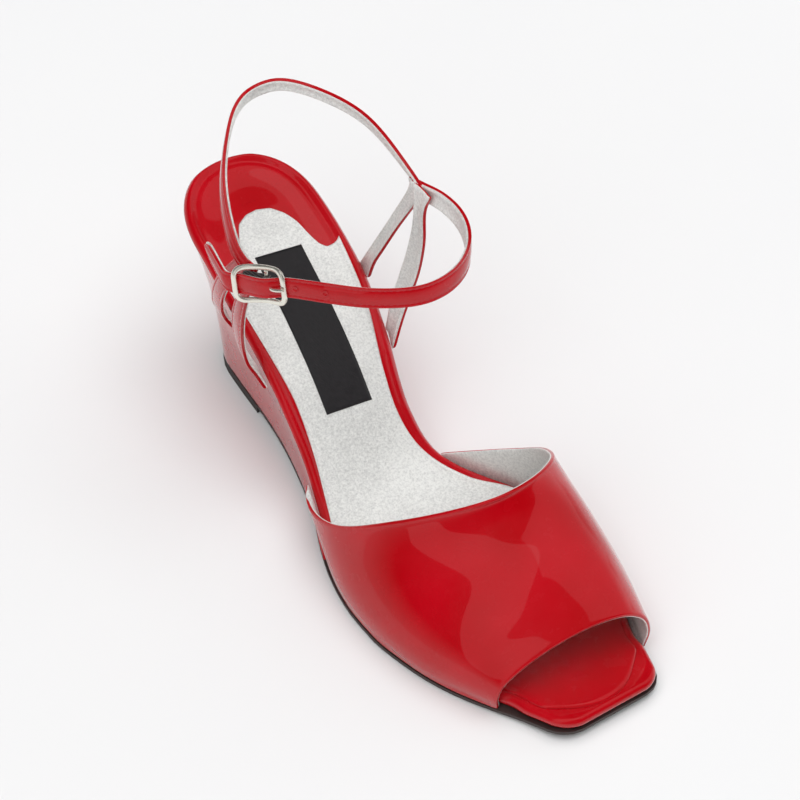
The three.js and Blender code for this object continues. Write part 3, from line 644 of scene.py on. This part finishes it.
def makeWedge():
    start = shoe["seatBack"] + shoe["rimInset"]
    stations = stationsFor(start, wedge["front"], wedge["step"], shoe["seatRound"], 0)

    def topEdges(s):
        low, high = bedEdges(s)
        inset = np.minimum(shoe["rimInset"], (high - low) / 2)
        low, high = low + inset, high - inset
        middle = (low + high) / 2
        tip = np.asarray(s) <= start + 1e-9
        return np.where(tip, middle, low), np.where(tip, middle, high)

    def footStation(s):
        # The foot starts further forward than the top, so stations move forward near the heel.
        blend = np.clip(1 - (s - start) / (shoe["footStart"] + wedge["footPull"]), 0, 1)
        return s + (shoe["footStart"] - start) * blend * blend

    def footEdges(s):
        low, high = groundEdges(footStation(s))
        tip = np.asarray(s) <= start + 1e-9
        return np.where(tip, originX, low), np.where(tip, originX, high)

    top = outlineOf(topEdges, stations, wedge["across"])
    foot = outlineOf(footEdges, stations, wedge["across"])
    foot[:, 1] = footStation(foot[:, 1])
    topPieceHigh = topPiece[1][2]

    def footHeight(x, s):
        arch = wedge["arch"] * (1 - smoothStep(s, *wedge["archEnds"])) + spring(s) + wedge["aboveSole"]
        onPiece = s < wedge["topPieceFront"]
        return np.where(onPiece, np.maximum(topPieceHigh, arch), arch) + shoe["gap"]

    def topHeight(x, s):
        return bedTop(s) - shoe["insoleThick"] - shoe["gap"]

    rings = [raised(foot, footHeight)]
    for t in wedge["levels"]:
        pulledIn = wedge["waist"] * math.sin(math.pi * t) ** 2
        plan = insetOutline(between(foot, top, t ** wedge["flare"]), pulledIn)
        z = between(footHeight(*foot.T), topHeight(*top.T), t)
        rings.append(place(np.c_[plan, z]))
    rings.append(raised(top, topHeight))
    ts = np.linspace(0, 1, wedge["across"] + 1)
    bottom = raised(fillRows(foot, len(stations), ts), footHeight)
    over = raised(fillRows(top, len(stations), ts), topHeight)
    plate("wedge_red", rings, (bottom, over), red, ("wedge_heel",))


makeWedge()
print("wedge made")

vamp = dict(
    fairings=10, fairness=0.35, fairWithin=0.42,
    wall=((1, 0.5), (2, 1.4)), wallHigh=2)  # the edge's next columns, and how far they rise from it
# Lines across the vamp, from its wings to the toe opening: stations at the sole, and places between.
vampRows = [
    dict(first=110, last=119, points=[
        [-38.2, 120, 17.5], [-39.8, 137, 25], [-29.5, 160, 41], [2, 180.5, 53],
        [31, 172.5, 47.3], [39.3, 158, 36.5], [37, 143, 24.5]]),
    dict(first=152, last=158, points=[
        [-45.7, 156.5, 10.5], [-41.6, 162, 21.5], [-29, 172, 34.6], [4, 187.5, 46.8],
        [31.5, 182, 41.8], [41.2, 172, 28.4], [45, 163, 13]]),
    dict(first=192, last=198, points=[
        [-42, 194, 10.5], [-36.8, 198, 19.8], [-25, 203, 28.8], [5, 208, 38.2],
        [28.2, 208, 34], [37, 205, 23.4], [41.2, 201, 12]]),
    dict(first=223.5, last=230, points=[
        [-28.9, 224.5, 9.5], [-26.6, 225, 16.5], [-14.5, 225.8, 23.4], [5, 228, 28.6],
        [20.5, 230.2, 28.2], [29.5, 231, 21.5], [32.4, 231, 12]]),
]
# Soft creases across the vamp: two ends as [x, s], width and depth in mm; a ridge has a negative depth.
vampCreases = [
    dict(ends=((-6, 196), (26, 188)), wide=6, deep=0.25),
    dict(ends=((-2, 204), (30, 198)), wide=6, deep=-0.2),
    dict(ends=((-22, 188), (6, 200)), wide=7, deep=0.35),
    dict(ends=((14, 214), (36, 206)), wide=4, deep=0.45),
    dict(ends=((-34, 176), (-20, 196)), wide=8, deep=0.3),
    dict(ends=((24, 178), (42, 170)), wide=6, deep=0.4),
    dict(ends=((-30, 214), (-6, 222)), wide=4, deep=0.3),
]


def creaseDepth(points):
    # How deep the creases press in at places in the part's frame.
    x, s = points[..., 0] + originX, originS - points[..., 1]
    here = np.stack([x, s], -1)
    deep = np.zeros(x.shape)
    for crease in vampCreases:
        a, b = (np.array(end, float) for end in crease["ends"])
        run = b - a
        t = np.clip(((here - a) @ run) / (run @ run), 0, 1)
        away = np.linalg.norm(here - (a + t[..., None] * run), axis=-1)
        along = np.sin(np.pi * np.clip(t, 0.06, 0.94))
        deep += crease["deep"] * np.exp(-(away / crease["wide"]) ** 2) * along
    return deep


def makeVamp():
    us = np.r_[0, 0.012, 0.035, np.linspace(0.07, 0.93, 40), 0.965, 0.988, 1]
    vs = np.r_[0, 0.02, 0.055, np.linspace(0.11, 0.89, 22), 0.945, 0.98, 1]
    curves = [np.vstack([place(feather(0, row["first"])), place(row["points"]),
                         place(feather(1, row["last"]))]) for row in vampRows]
    lines = np.array([curveThrough(c, us) for c in curves])
    grid = np.stack([curveThrough(lines[:, j], vs) for j in range(len(us))], 1)
    step = vamp["fairness"] * (np.abs(us[1:-1] - 0.5) < vamp["fairWithin"])[None, :, None]
    for _ in range(vamp["fairings"]):  # smooth the skin inside its edges
        near = (grid[:-2, 1:-1] + grid[2:, 1:-1] + grid[1:-1, :-2] + grid[1:-1, 2:]) / 4
        grid[1:-1, 1:-1] += (near - grid[1:-1, 1:-1]) * step
    for side, edge in ((0, 0), (1, -1)):
        s = originS - grid[:, edge, 1]
        grid[:, edge] = place(np.array([feather(side, one) for one in s]))
        for near, above in vamp["wall"]:  # the leather rises straight from the sole
            column = grid[:, near if side == 0 else -1 - near]
            column[:, 2] = np.maximum(column[:, 2], grid[:, edge, 2] + above)
        part = grid[:, :len(us) // 2] if side == 0 else grid[:, len(us) // 2:]
        station = originS - part[..., 1]
        clear = np.array([feather(side, one)[0] for one in station.ravel()]).reshape(station.shape) - originX
        low = part[..., 2] < bedTop(station) + vamp["wallHigh"]
        pick = np.minimum if side == 0 else np.maximum
        part[..., 0] = np.where(low, pick(part[..., 0], clear), part[..., 0])
    grid -= normalsOf(grid) * creaseDepth(grid)[..., None]
    leather("vamp_leather", grid, shoe["wall"], [red, lining, red], 2, "columns", replaced=("vamp",))


makeVamp()
print("vamp made")

# The quarters' four legs: the stations where they enter the seam, and places down each edge.
legs = dict(
    medial_rear=dict(side=1, foot=(54, 61),
        rear=[[36.8, 76, 105.5], [36.4, 74.6, 100], [34.8, 68.3, 85], [31.9, 62.9, 71.1], [30.1, 58.2, 60]],
        front=[[37, 83.5, 104], [36.4, 78.5, 94], [33.8, 71, 78], [30.8, 66.5, 65.8], [29.2, 63, 57]]),
    medial_front=dict(side=1, foot=(78, 86),
        rear=[[36.8, 77, 105.5], [35.8, 79.6, 93.5], [34.6, 77.3, 75.3], [32.4, 75.2, 61],
              [28.6, 75.4, 51]],
        front=[[37.2, 88, 105], [36.2, 85.7, 97], [36, 85.7, 82.1], [34.6, 84.5, 67.2],
               [31.4, 83.4, 54.6], [27.4, 84, 45]]),
    lateral_rear=dict(side=0, foot=(48, 56.5),
        rear=[[-34.6, 74, 105], [-35.6, 71, 100], [-37.2, 62.7, 87.4], [-36.4, 55.6, 72.8],
              [-33, 50.6, 60]],
        front=[[-34, 81, 104], [-35.8, 74.8, 95], [-37.4, 66.1, 79.1], [-35.6, 60.6, 66.5],
               [-32.3, 57, 57]]),
    lateral_front=dict(side=0, foot=(74, 80),
        rear=[[-34.6, 75, 105], [-35.4, 75, 93], [-37.6, 71.5, 75.5], [-36.4, 71, 61.6],
              [-32.8, 72.6, 51]],
        front=[[-33.4, 84, 104.5], [-35.4, 82.2, 96], [-38.8, 80.9, 79.9], [-38.4, 79.3, 64.9],
               [-35.8, 77.6, 52.6], [-32.6, 78, 45]]),
)
# A strap's cross-section: shares of its width, and how far the face stands out there in mm.
acrossStrap = np.array([0, 0.045, 0.11, 0.165, 0.22, 0.34, 0.5, 0.66, 0.78, 0.835, 0.89, 0.955, 1])
strapFace = np.array([0, 0.16, 0.2, 0.02, 0.2, 0.34, 0.38, 0.34, 0.2, 0.02, 0.2, 0.16, 0])
stitchColumns = (3, -4)  # the grooves in that section


def crowned(grid):
    return grid + normalsOf(grid) * strapFace[None, :, None]


stitchLines = []  # each a line of places on the outer face, with the way out at each


def noteStitches(grid):
    normal = normalsOf(grid)
    for j in stitchColumns:
        stitchLines.append((grid[:, j], normal[:, j]))


def makeLeg(name, side, foot, rear, front):
    ts = np.r_[0, np.linspace(0.05, 0.95, 26), 1]
    edges = [curveThrough(np.vstack([place(points), place(feather(side, s))]), ts)
             for points, s in ((rear, foot[0]), (front, foot[1]))]
    grid = edges[0][:, None] + (edges[1] - edges[0])[:, None] * acrossStrap[None, :, None]
    if side == 1:
        grid = grid[:, ::-1]
    grid = crowned(grid)
    noteStitches(grid[2:-2])
    leather("quarter_" + name, grid, shoe["wall"], [redStrap, lining, redStrap], 2, "last row")


for legName, leg in legs.items():
    makeLeg(legName, **leg)

backStrap = dict(wide=5.4, points=70, leanMiddle=6, leanEnds=20, leanPower=1.5, top=[
    [37.2, 82, 105.4], [37, 75.4, 108.6], [30.5, 56.1, 124.5], [18.2, 41.2, 132.8], [8.8, 31, 133.6],
    [0, 27, 130.6], [-7.8, 30, 129.4], [-17.8, 40, 127.4], [-29, 55.5, 120.8],
    [-34.6, 73, 108.6], [-34, 80, 105.2]])


def soften(line, rounds):
    for _ in range(rounds):
        line[1:-1] = line[1:-1] * 0.5 + (line[:-2] + line[2:]) * 0.25


def at(distances, far, line):
    # Places at some distances along a line.
    return np.stack([np.interp(distances, far, column) for column in line.T], -1)


def faired(points, count):
    # Evenly spaced points along a curve, its small kinks smoothed out.
    line = curveThrough(points, np.linspace(0, 1, 400))
    soften(line, 60)
    far = farAlong(line)
    return at(np.linspace(0, far[-1], count), far, line)


def makeBackStrap():
    top = faired(place(backStrap["top"]), backStrap["points"])
    ahead = np.gradient(top, axis=0)
    ahead /= np.linalg.norm(ahead, axis=1, keepdims=True)
    outward = np.stack([ahead[:, 1], -ahead[:, 0], np.zeros(len(top))], -1)
    outward /= np.linalg.norm(outward, axis=1, keepdims=True)
    t = np.linspace(0, 1, len(top))
    towardsEnd = np.abs(2 * t - 1) ** backStrap["leanPower"]
    lean = np.radians(between(backStrap["leanMiddle"], backStrap["leanEnds"], towardsEnd))[:, None]
    down = outward * np.sin(lean) + np.array([0, 0, -1]) * np.cos(lean)
    down -= ahead * np.sum(down * ahead, axis=1, keepdims=True)
    down /= np.linalg.norm(down, axis=1, keepdims=True)
    grid = top[:, None] + down[:, None] * (backStrap["wide"] * acrossStrap[::-1])[None, :, None]
    grid = crowned(grid)
    noteStitches(grid[2:-2])
    leather("heel_strap", grid, shoe["wall"], [redStrap, lining, redStrap], 2)


makeBackStrap()

buckle = dict(
    face=2.1, long=21.0, high=14.0, bar=1.5, bow=2.9, centreBar=1.2, barAhead=2.0, corner=3.2, elastic=0.8,
    middle=(-35.8, 89.8, 102.8), ahead=(-28.5, 100.2, 105.8), upright=(0.28, 0.1, 1))
# The ankle strap runs from the inner side round the front of the ankle and through the buckle.
ankle = dict(
    wide=7.7, tipRound=4.2, tipNarrow=0.62, overElastic=0.65, underBar=0.4,
    top=[[37.3, 74, 105.2], [38.4, 80, 106], [40.6, 89, 107.5], [40, 102, 109.5], [35.2, 114.5, 111],
         [27.2, 123.7, 112], [16.8, 128.9, 112.6], [4.6, 129.2, 113], [-10, 121, 112.6],
         [-23.2, 106.3, 111.2]],
    low=[[37.5, 76, 98], [38.4, 82, 98.6], [39.2, 92, 100], [37.6, 104.9, 102], [33.6, 115.5, 103.5],
         [26.8, 125.3, 104.9], [15.9, 131.4, 105.5], [3.6, 131.8, 105.7], [-12, 122.9, 105.5],
         [-25.5, 108.4, 104.2]],
    tip=(-41.6, 62.5, 103.4),
    holes=[(-28.1, 101.2, 106.4), (-22, 109.6, 108.9)])
barReach = (buckle["long"] - buckle["bar"]) / 2 - 0.3


def bowAt(a):
    # How far the bowed frame stands out at a distance rearward of its middle.
    return buckle["bow"] * (2 * a / (buckle["long"] - buckle["bar"])) ** 2 - buckle["bow"] / 2


buckleMiddle = place(buckle["middle"])
rearward = buckleMiddle - place(buckle["ahead"])
rearward /= np.linalg.norm(rearward)
outwardAxis = np.cross(buckle["upright"], rearward)
outwardAxis /= np.linalg.norm(outwardAxis)
upAxis = np.cross(rearward, outwardAxis)


def onBuckle(a, b, c):
    # Rearward, upward and outward from the middle of the buckle.
    return buckleMiddle + a * rearward + b * upAxis + c * outwardAxis


def makeAnkleStrap():
    wall = shoe["wall"]
    onBar = (buckle["centreBar"] + wall) / 2 + buckle["elastic"]
    over = bowAt(-buckle["barAhead"]) + onBar + ankle["overElastic"]
    under = bowAt(barReach) - (buckle["bar"] + wall) / 2 - ankle["underBar"]
    top, low = faired(place(ankle["top"]), 48), faired(place(ankle["low"]), 48)
    middle = (top + low) / 2
    half = (top - low) / np.linalg.norm(top - low, axis=1, keepdims=True) * ankle["wide"] / 2
    front = [np.array([m + h, m, m - h]) for m, h in zip(middle, half)]
    # Places through the buckle, rearward and outward: under its front bar, over the centre, under the back.
    ends = [(-barReach - 1.8, under - 0.1), (-barReach + 1.4, under),
            (-barReach + 3.4, between(under, over, 0.45)), (-buckle["barAhead"] - 1.4, over),
            (-buckle["barAhead"] + 1.4, over), (barReach - 4.6, between(under, over, 0.4)),
            (barReach - 1.8, under), (barReach + 1.8, under), (barReach + 4.5, under + 0.1)]
    edges = ankle["wide"] / 2 * np.array([1, 0, -1])
    run = [np.array([onBuckle(a, b, c + wall / 2) for b in edges]) for a, c in ends]
    last = run[-1]
    section = last - last[1]
    beyond = place(ankle["tip"]) + section * ankle["tipNarrow"]
    nearTip = between(last, beyond, 0.7) + section * 0.18
    keys = np.array(front[:-1] + run + [nearTip, beyond])
    far = farAlong(keys[:, 1])
    fine = np.linspace(0, far[-1], 120)
    lines = [at(fine, far, keys[:, j]) for j in range(3)]
    for line in lines:
        soften(line, 3)
    share = acrossStrap[None, :, None]
    left = np.linspace(far[-1], 0, len(fine))[:, None]  # what's left of the strap up to its rounded tip
    short = np.clip(1 - left / ankle["tipRound"], 0, 1)
    narrowed = np.sqrt(np.clip(1 - short ** 2, 0.06, 1))
    top, low = (between(lines[1], line, narrowed) for line in (lines[0], lines[2]))
    grid = top[:, None] * (1 - share) + low[:, None] * share
    grid = crowned(grid)
    noteStitches(grid[2:-8])
    leather("ankle_strap", grid, wall, [redStrap, lining, redStrap], 2, replaced=("strap_upper",))
    return grid


ankleGrid = makeAnkleStrap()

# A stitch's profile: shares of its half length, and of its thickness there.
stitch = dict(long=1.35, step=2.1, thick=0.15, flat=0.8, sides=6, lift=0.06, ahead=0.8,
              profile=[(-1, 0.15), (-0.85, 0.7), (-0.4, 1), (0.4, 1), (0.85, 0.7), (1, 0.15)])


def makeStitches():
    # Short thread stitches laid along the noted lines, all in one mesh.
    points, faces = [], []
    sides, rings = stitch["sides"], len(stitch["profile"])
    corners = np.linspace(0, 2 * math.pi, sides, endpoint=False)
    for line, normal in stitchLines:
        far = farAlong(line)
        for centre in np.arange(stitch["step"], far[-1] - stitch["step"], stitch["step"]):
            here, out = at(centre, far, line), at(centre, far, normal)
            run = at(centre + stitch["ahead"], far, line) - here
            run /= np.linalg.norm(run)
            side = np.cross(run, out)
            start = len(points)
            for r, fat in stitch["profile"]:
                middle = here + run * r * stitch["long"] / 2 + out * stitch["lift"] * (1 - 2 * abs(r))
                for angle in corners:
                    across = side * math.cos(angle) + out * math.sin(angle) * stitch["flat"]
                    points.append(middle + across * fat * stitch["thick"])
            last = start + (rings - 1) * sides
            faces += gridFaces(rings, sides, start, wrap=True).tolist()
            faces += [list(range(start, start + sides)), list(range(last, last + sides))[::-1]]
    newPiece("strap_stitches", points, faces, [redThread])


makeStitches()

# A punched hole's profile: shares of its radius, and heights in mm, from the turned-in lip to the bottom.
hole = dict(radius=0.75, sides=16, proud=0.12, profile=[
    (1.5, 0.02), (1.2, 0.1), (1.0, 0.06), (0.85, -0.05), (0.75, -0.12)])
heelMarks = dict(radius=0.28, sunk=0.12, way=(0, 0.25, 0.97), places=[
    [0.1, 17.2], [1.8, 17.4], [3.5, 17.5], [5.2, 17.6]])


def makeHoles(name, places, normals, radius):
    points, faces = [], []
    sides, profile = hole["sides"], hole["profile"]
    for middle, normal in zip(places, normals):
        start = len(points)
        side = np.cross(normal, [0.3, 0.2, 1.0])
        side /= np.linalg.norm(side)
        other = np.cross(normal, side)
        for wide, high in profile:
            for angle in np.linspace(0, 2 * math.pi, sides, endpoint=False):
                around = side * math.cos(angle) + other * math.sin(angle)
                points.append(middle + around * wide * radius + normal * (high + hole["proud"]))
        faces += gridFaces(len(profile), sides, start, wrap=True, flip=True).tolist()
        faces.append([start + sides * (len(profile) - 1) + k for k in range(sides)])
    newPiece(name, points, faces, [redStrap])


middleLine, middleOut = ankleGrid[:, len(acrossStrap) // 2], normalsOf(ankleGrid)[:, len(acrossStrap) // 2]
nearest = [np.argmin(np.linalg.norm(middleLine - place(one), axis=1)) for one in ankle["holes"]]
makeHoles("strap_holes", middleLine[nearest], middleOut[nearest], hole["radius"])
marks = raised(np.array(heelMarks["places"]), lambda x, s: bedShape(x, s) - heelMarks["sunk"])
makeHoles("heel_marks", marks, np.tile(heelMarks["way"], (len(marks), 1)), heelMarks["radius"])
print("straps made")


def smoothed(node, name, material, levels):
    # The CAD node's own form with its facets paired up and rounded.
    work = bmesh.new()
    work.from_mesh(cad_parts[node].data)
    bmesh.ops.remove_doubles(work, verts=work.verts, dist=2e-6)
    bmesh.ops.join_triangles(work, faces=work.faces, angle_face_threshold=0.9, angle_shape_threshold=1.2)
    data = bpy.data.meshes.new(name)
    work.to_mesh(data)
    work.free()
    rounded(onShoe(name, data, [material], (node,)), levels, True)


def wire(path, wide, thick, closed, start=0, sides=10, square=0.75):
    # A rod along a path in the buckle's own directions, with its flats across the buckle's face.
    path = np.array(path, float)
    run = np.roll(path, -1, 0) - np.roll(path, 1, 0) if closed else np.gradient(path, axis=0)
    run /= np.linalg.norm(run, axis=1, keepdims=True)
    side = np.cross(run, [0, 0, 1.0])
    side /= np.linalg.norm(side, axis=1, keepdims=True)
    top = np.cross(side, run)
    points = []
    for angle in np.linspace(0, 2 * math.pi, sides, endpoint=False):
        c, d = math.cos(angle), math.sin(angle)
        points.append(path + side * wide * math.copysign(abs(c) ** square, c)
                      + top * thick * math.copysign(abs(d) ** square, d))
    rings = np.stack(points, 1)
    count = len(path)
    faces = gridFaces(count, sides, start, wrap=True).tolist()
    first, last = start + np.arange(sides), start + (count - 1) * sides + np.arange(sides)
    if closed:
        faces += np.stack([last, first, np.roll(first, -1), np.roll(last, -1)], -1).tolist()
    else:
        faces += [first.tolist(), last[::-1].tolist()]
    return rings.reshape(-1, 3), faces


def makeBuckle():
    corner, halfHigh = buckle["corner"], (buckle["high"] - buckle["bar"]) / 2
    path = []
    for k, (a, b) in enumerate([(1, 1), (-1, 1), (-1, -1), (1, -1)]):
        for turn in np.linspace(0, math.pi / 2, 7):
            angle = turn + k * math.pi / 2
            path.append((a * (barReach - corner) + corner * math.cos(angle),
                         b * (halfHigh - corner) + corner * math.sin(angle)))
    path = np.array(path + path[:1])
    far = farAlong(path)
    plan = at(np.linspace(0, far[-1], 60, endpoint=False), far, path)
    ring = np.c_[plan, bowAt(plan[:, 0])]
    points, faces = wire(ring, buckle["face"] / 2, buckle["bar"] / 2, True)
    ahead = -buckle["barAhead"]
    bar = [[ahead, b, bowAt(ahead)] for b in np.linspace(-halfHigh, halfHigh, 6)]
    more, barFaces = wire(bar, buckle["centreBar"] / 2, buckle["centreBar"] / 2, False, len(points))
    places = np.array([onBuckle(*p) for p in np.vstack([points, more])])
    newPiece("buckle_rounded", places, faces + barFaces, [nickel], None, 1, ("buckle_frame",))


makeBuckle()
smoothed("buckle_prong", "prong_rounded", nickel, 2)
smoothed("elastic_tab", "elastic_woven", elasticWeave, 1)
print("buckle made")

# The floor is white paper, and the room a pale wall low down with a dark ceiling above it.
stage = dict(size=60.0, floor=rgb(232, 232, 232), patches=rgb(229, 229, 230), wall=0.6, ceiling=0.04,
             wallEnds=(0.06, 0.4), aim=(0, -0.07, 0.04), fillAngle=75)


def makeFloor():
    f = Finish("floor_paper", {"Roughness": 0.9, "Specular IOR Level": 0.1})
    f.paint({"Base Color": f.mixed(f.noise(6, 2), stage["floor"], stage["patches"])})
    half = stage["size"] / 2
    corners = [(-half, -half, 0), (half, -half, 0), (half, half, 0), (-half, half, 0)]
    data = bpy.data.meshes.new("floor")
    data.from_pydata(corners, [], [(0, 1, 2, 3)])
    data.materials.append(f.material)
    floor = bpy.data.objects.new("floor", data)
    bpy.context.scene.collection.objects.link(floor)


makeFloor()

world = bpy.data.worlds.new("studio")
bpy.context.scene.world = world
world.use_nodes = True
sky = world.node_tree
ways = sky.nodes.new("ShaderNodeSeparateXYZ")
rise = sky.nodes.new("ShaderNodeMapRange")
sky.links.new(sky.nodes.new("ShaderNodeTexCoord").outputs["Generated"], ways.inputs[0])
sky.links.new(ways.outputs["Z"], rise.inputs["Value"])
lowEnd, highEnd = stage["wallEnds"]
ranges = {"From Min": lowEnd, "From Max": highEnd, "To Min": stage["wall"], "To Max": stage["ceiling"]}
for key, value in ranges.items():
    rise.inputs[key].default_value = value
sky.links.new(rise.outputs[0], sky.nodes["Background"].inputs["Strength"])
sky.nodes["Background"].inputs["Color"].default_value = (1, 1, 1, 1)


def softbox(name, where, size, radiance):
    light = bpy.data.lights.new(name, "AREA")
    light.shape, light.size, light.size_y = "RECTANGLE", size[0], size[1]
    light.energy = radiance * math.pi * size[0] * size[1]
    holder = bpy.data.objects.new(name, light)
    holder.location = where
    aim = Vector(stage["aim"]) - Vector(where)
    holder.rotation_euler = aim.to_track_quat("-Z", "Y").to_euler()
    bpy.context.scene.collection.objects.link(holder)


def daylight(name, where, strength):
    # Soft light from one side, that gives no highlight of its own.
    light = bpy.data.lights.new(name, "SUN")
    light.energy, light.angle = strength, math.radians(stage["fillAngle"])
    holder = bpy.data.objects.new(name, light)
    holder.rotation_euler = Vector(where).to_track_quat("Z", "Y").to_euler()
    holder.visible_glossy = False
    bpy.context.scene.collection.objects.link(holder)


daylight("fill_top", (0.0, -0.1, 1.0), 2.3)
daylight("fill_left", (-1.0, -0.6, 0.7), 0.9)
daylight("fill_right", (1.0, 0.2, 0.6), 0.6)
softbox("strip_left", (-0.62, -0.35, 1.2), (0.62, 2.8), 0.5)
softbox("strip_right", (1.05, -0.25, 0.95), (0.95, 2.6), 0.42)

view = dict(lookAt=(0.0694, -0.06365, 0.0), azimuth=-37.36, elevation=46.03, away=1.1362,
            aim=(-0.004, -0.088, 0.055), lens=134)
turn, tilt = math.radians(view["azimuth"]), math.radians(view["elevation"])
back = Vector((math.sin(turn) * math.cos(tilt), -math.cos(turn) * math.cos(tilt), math.sin(tilt)))
camera = bpy.data.objects.new("camera", bpy.data.cameras.new("camera"))
camera.data.sensor_width = 36
camera.data.lens = view["lens"]
camera.location = Vector(view["lookAt"]) + back * view["away"]
camera.rotation_euler = (Vector(view["aim"]) - camera.location).to_track_quat("-Z", "Y").to_euler()
bpy.context.scene.collection.objects.link(camera)
bpy.context.scene.camera = camera
bpy.context.scene.view_settings.view_transform = "Standard"
print("stage set")

bpy.context.view_layer.update()
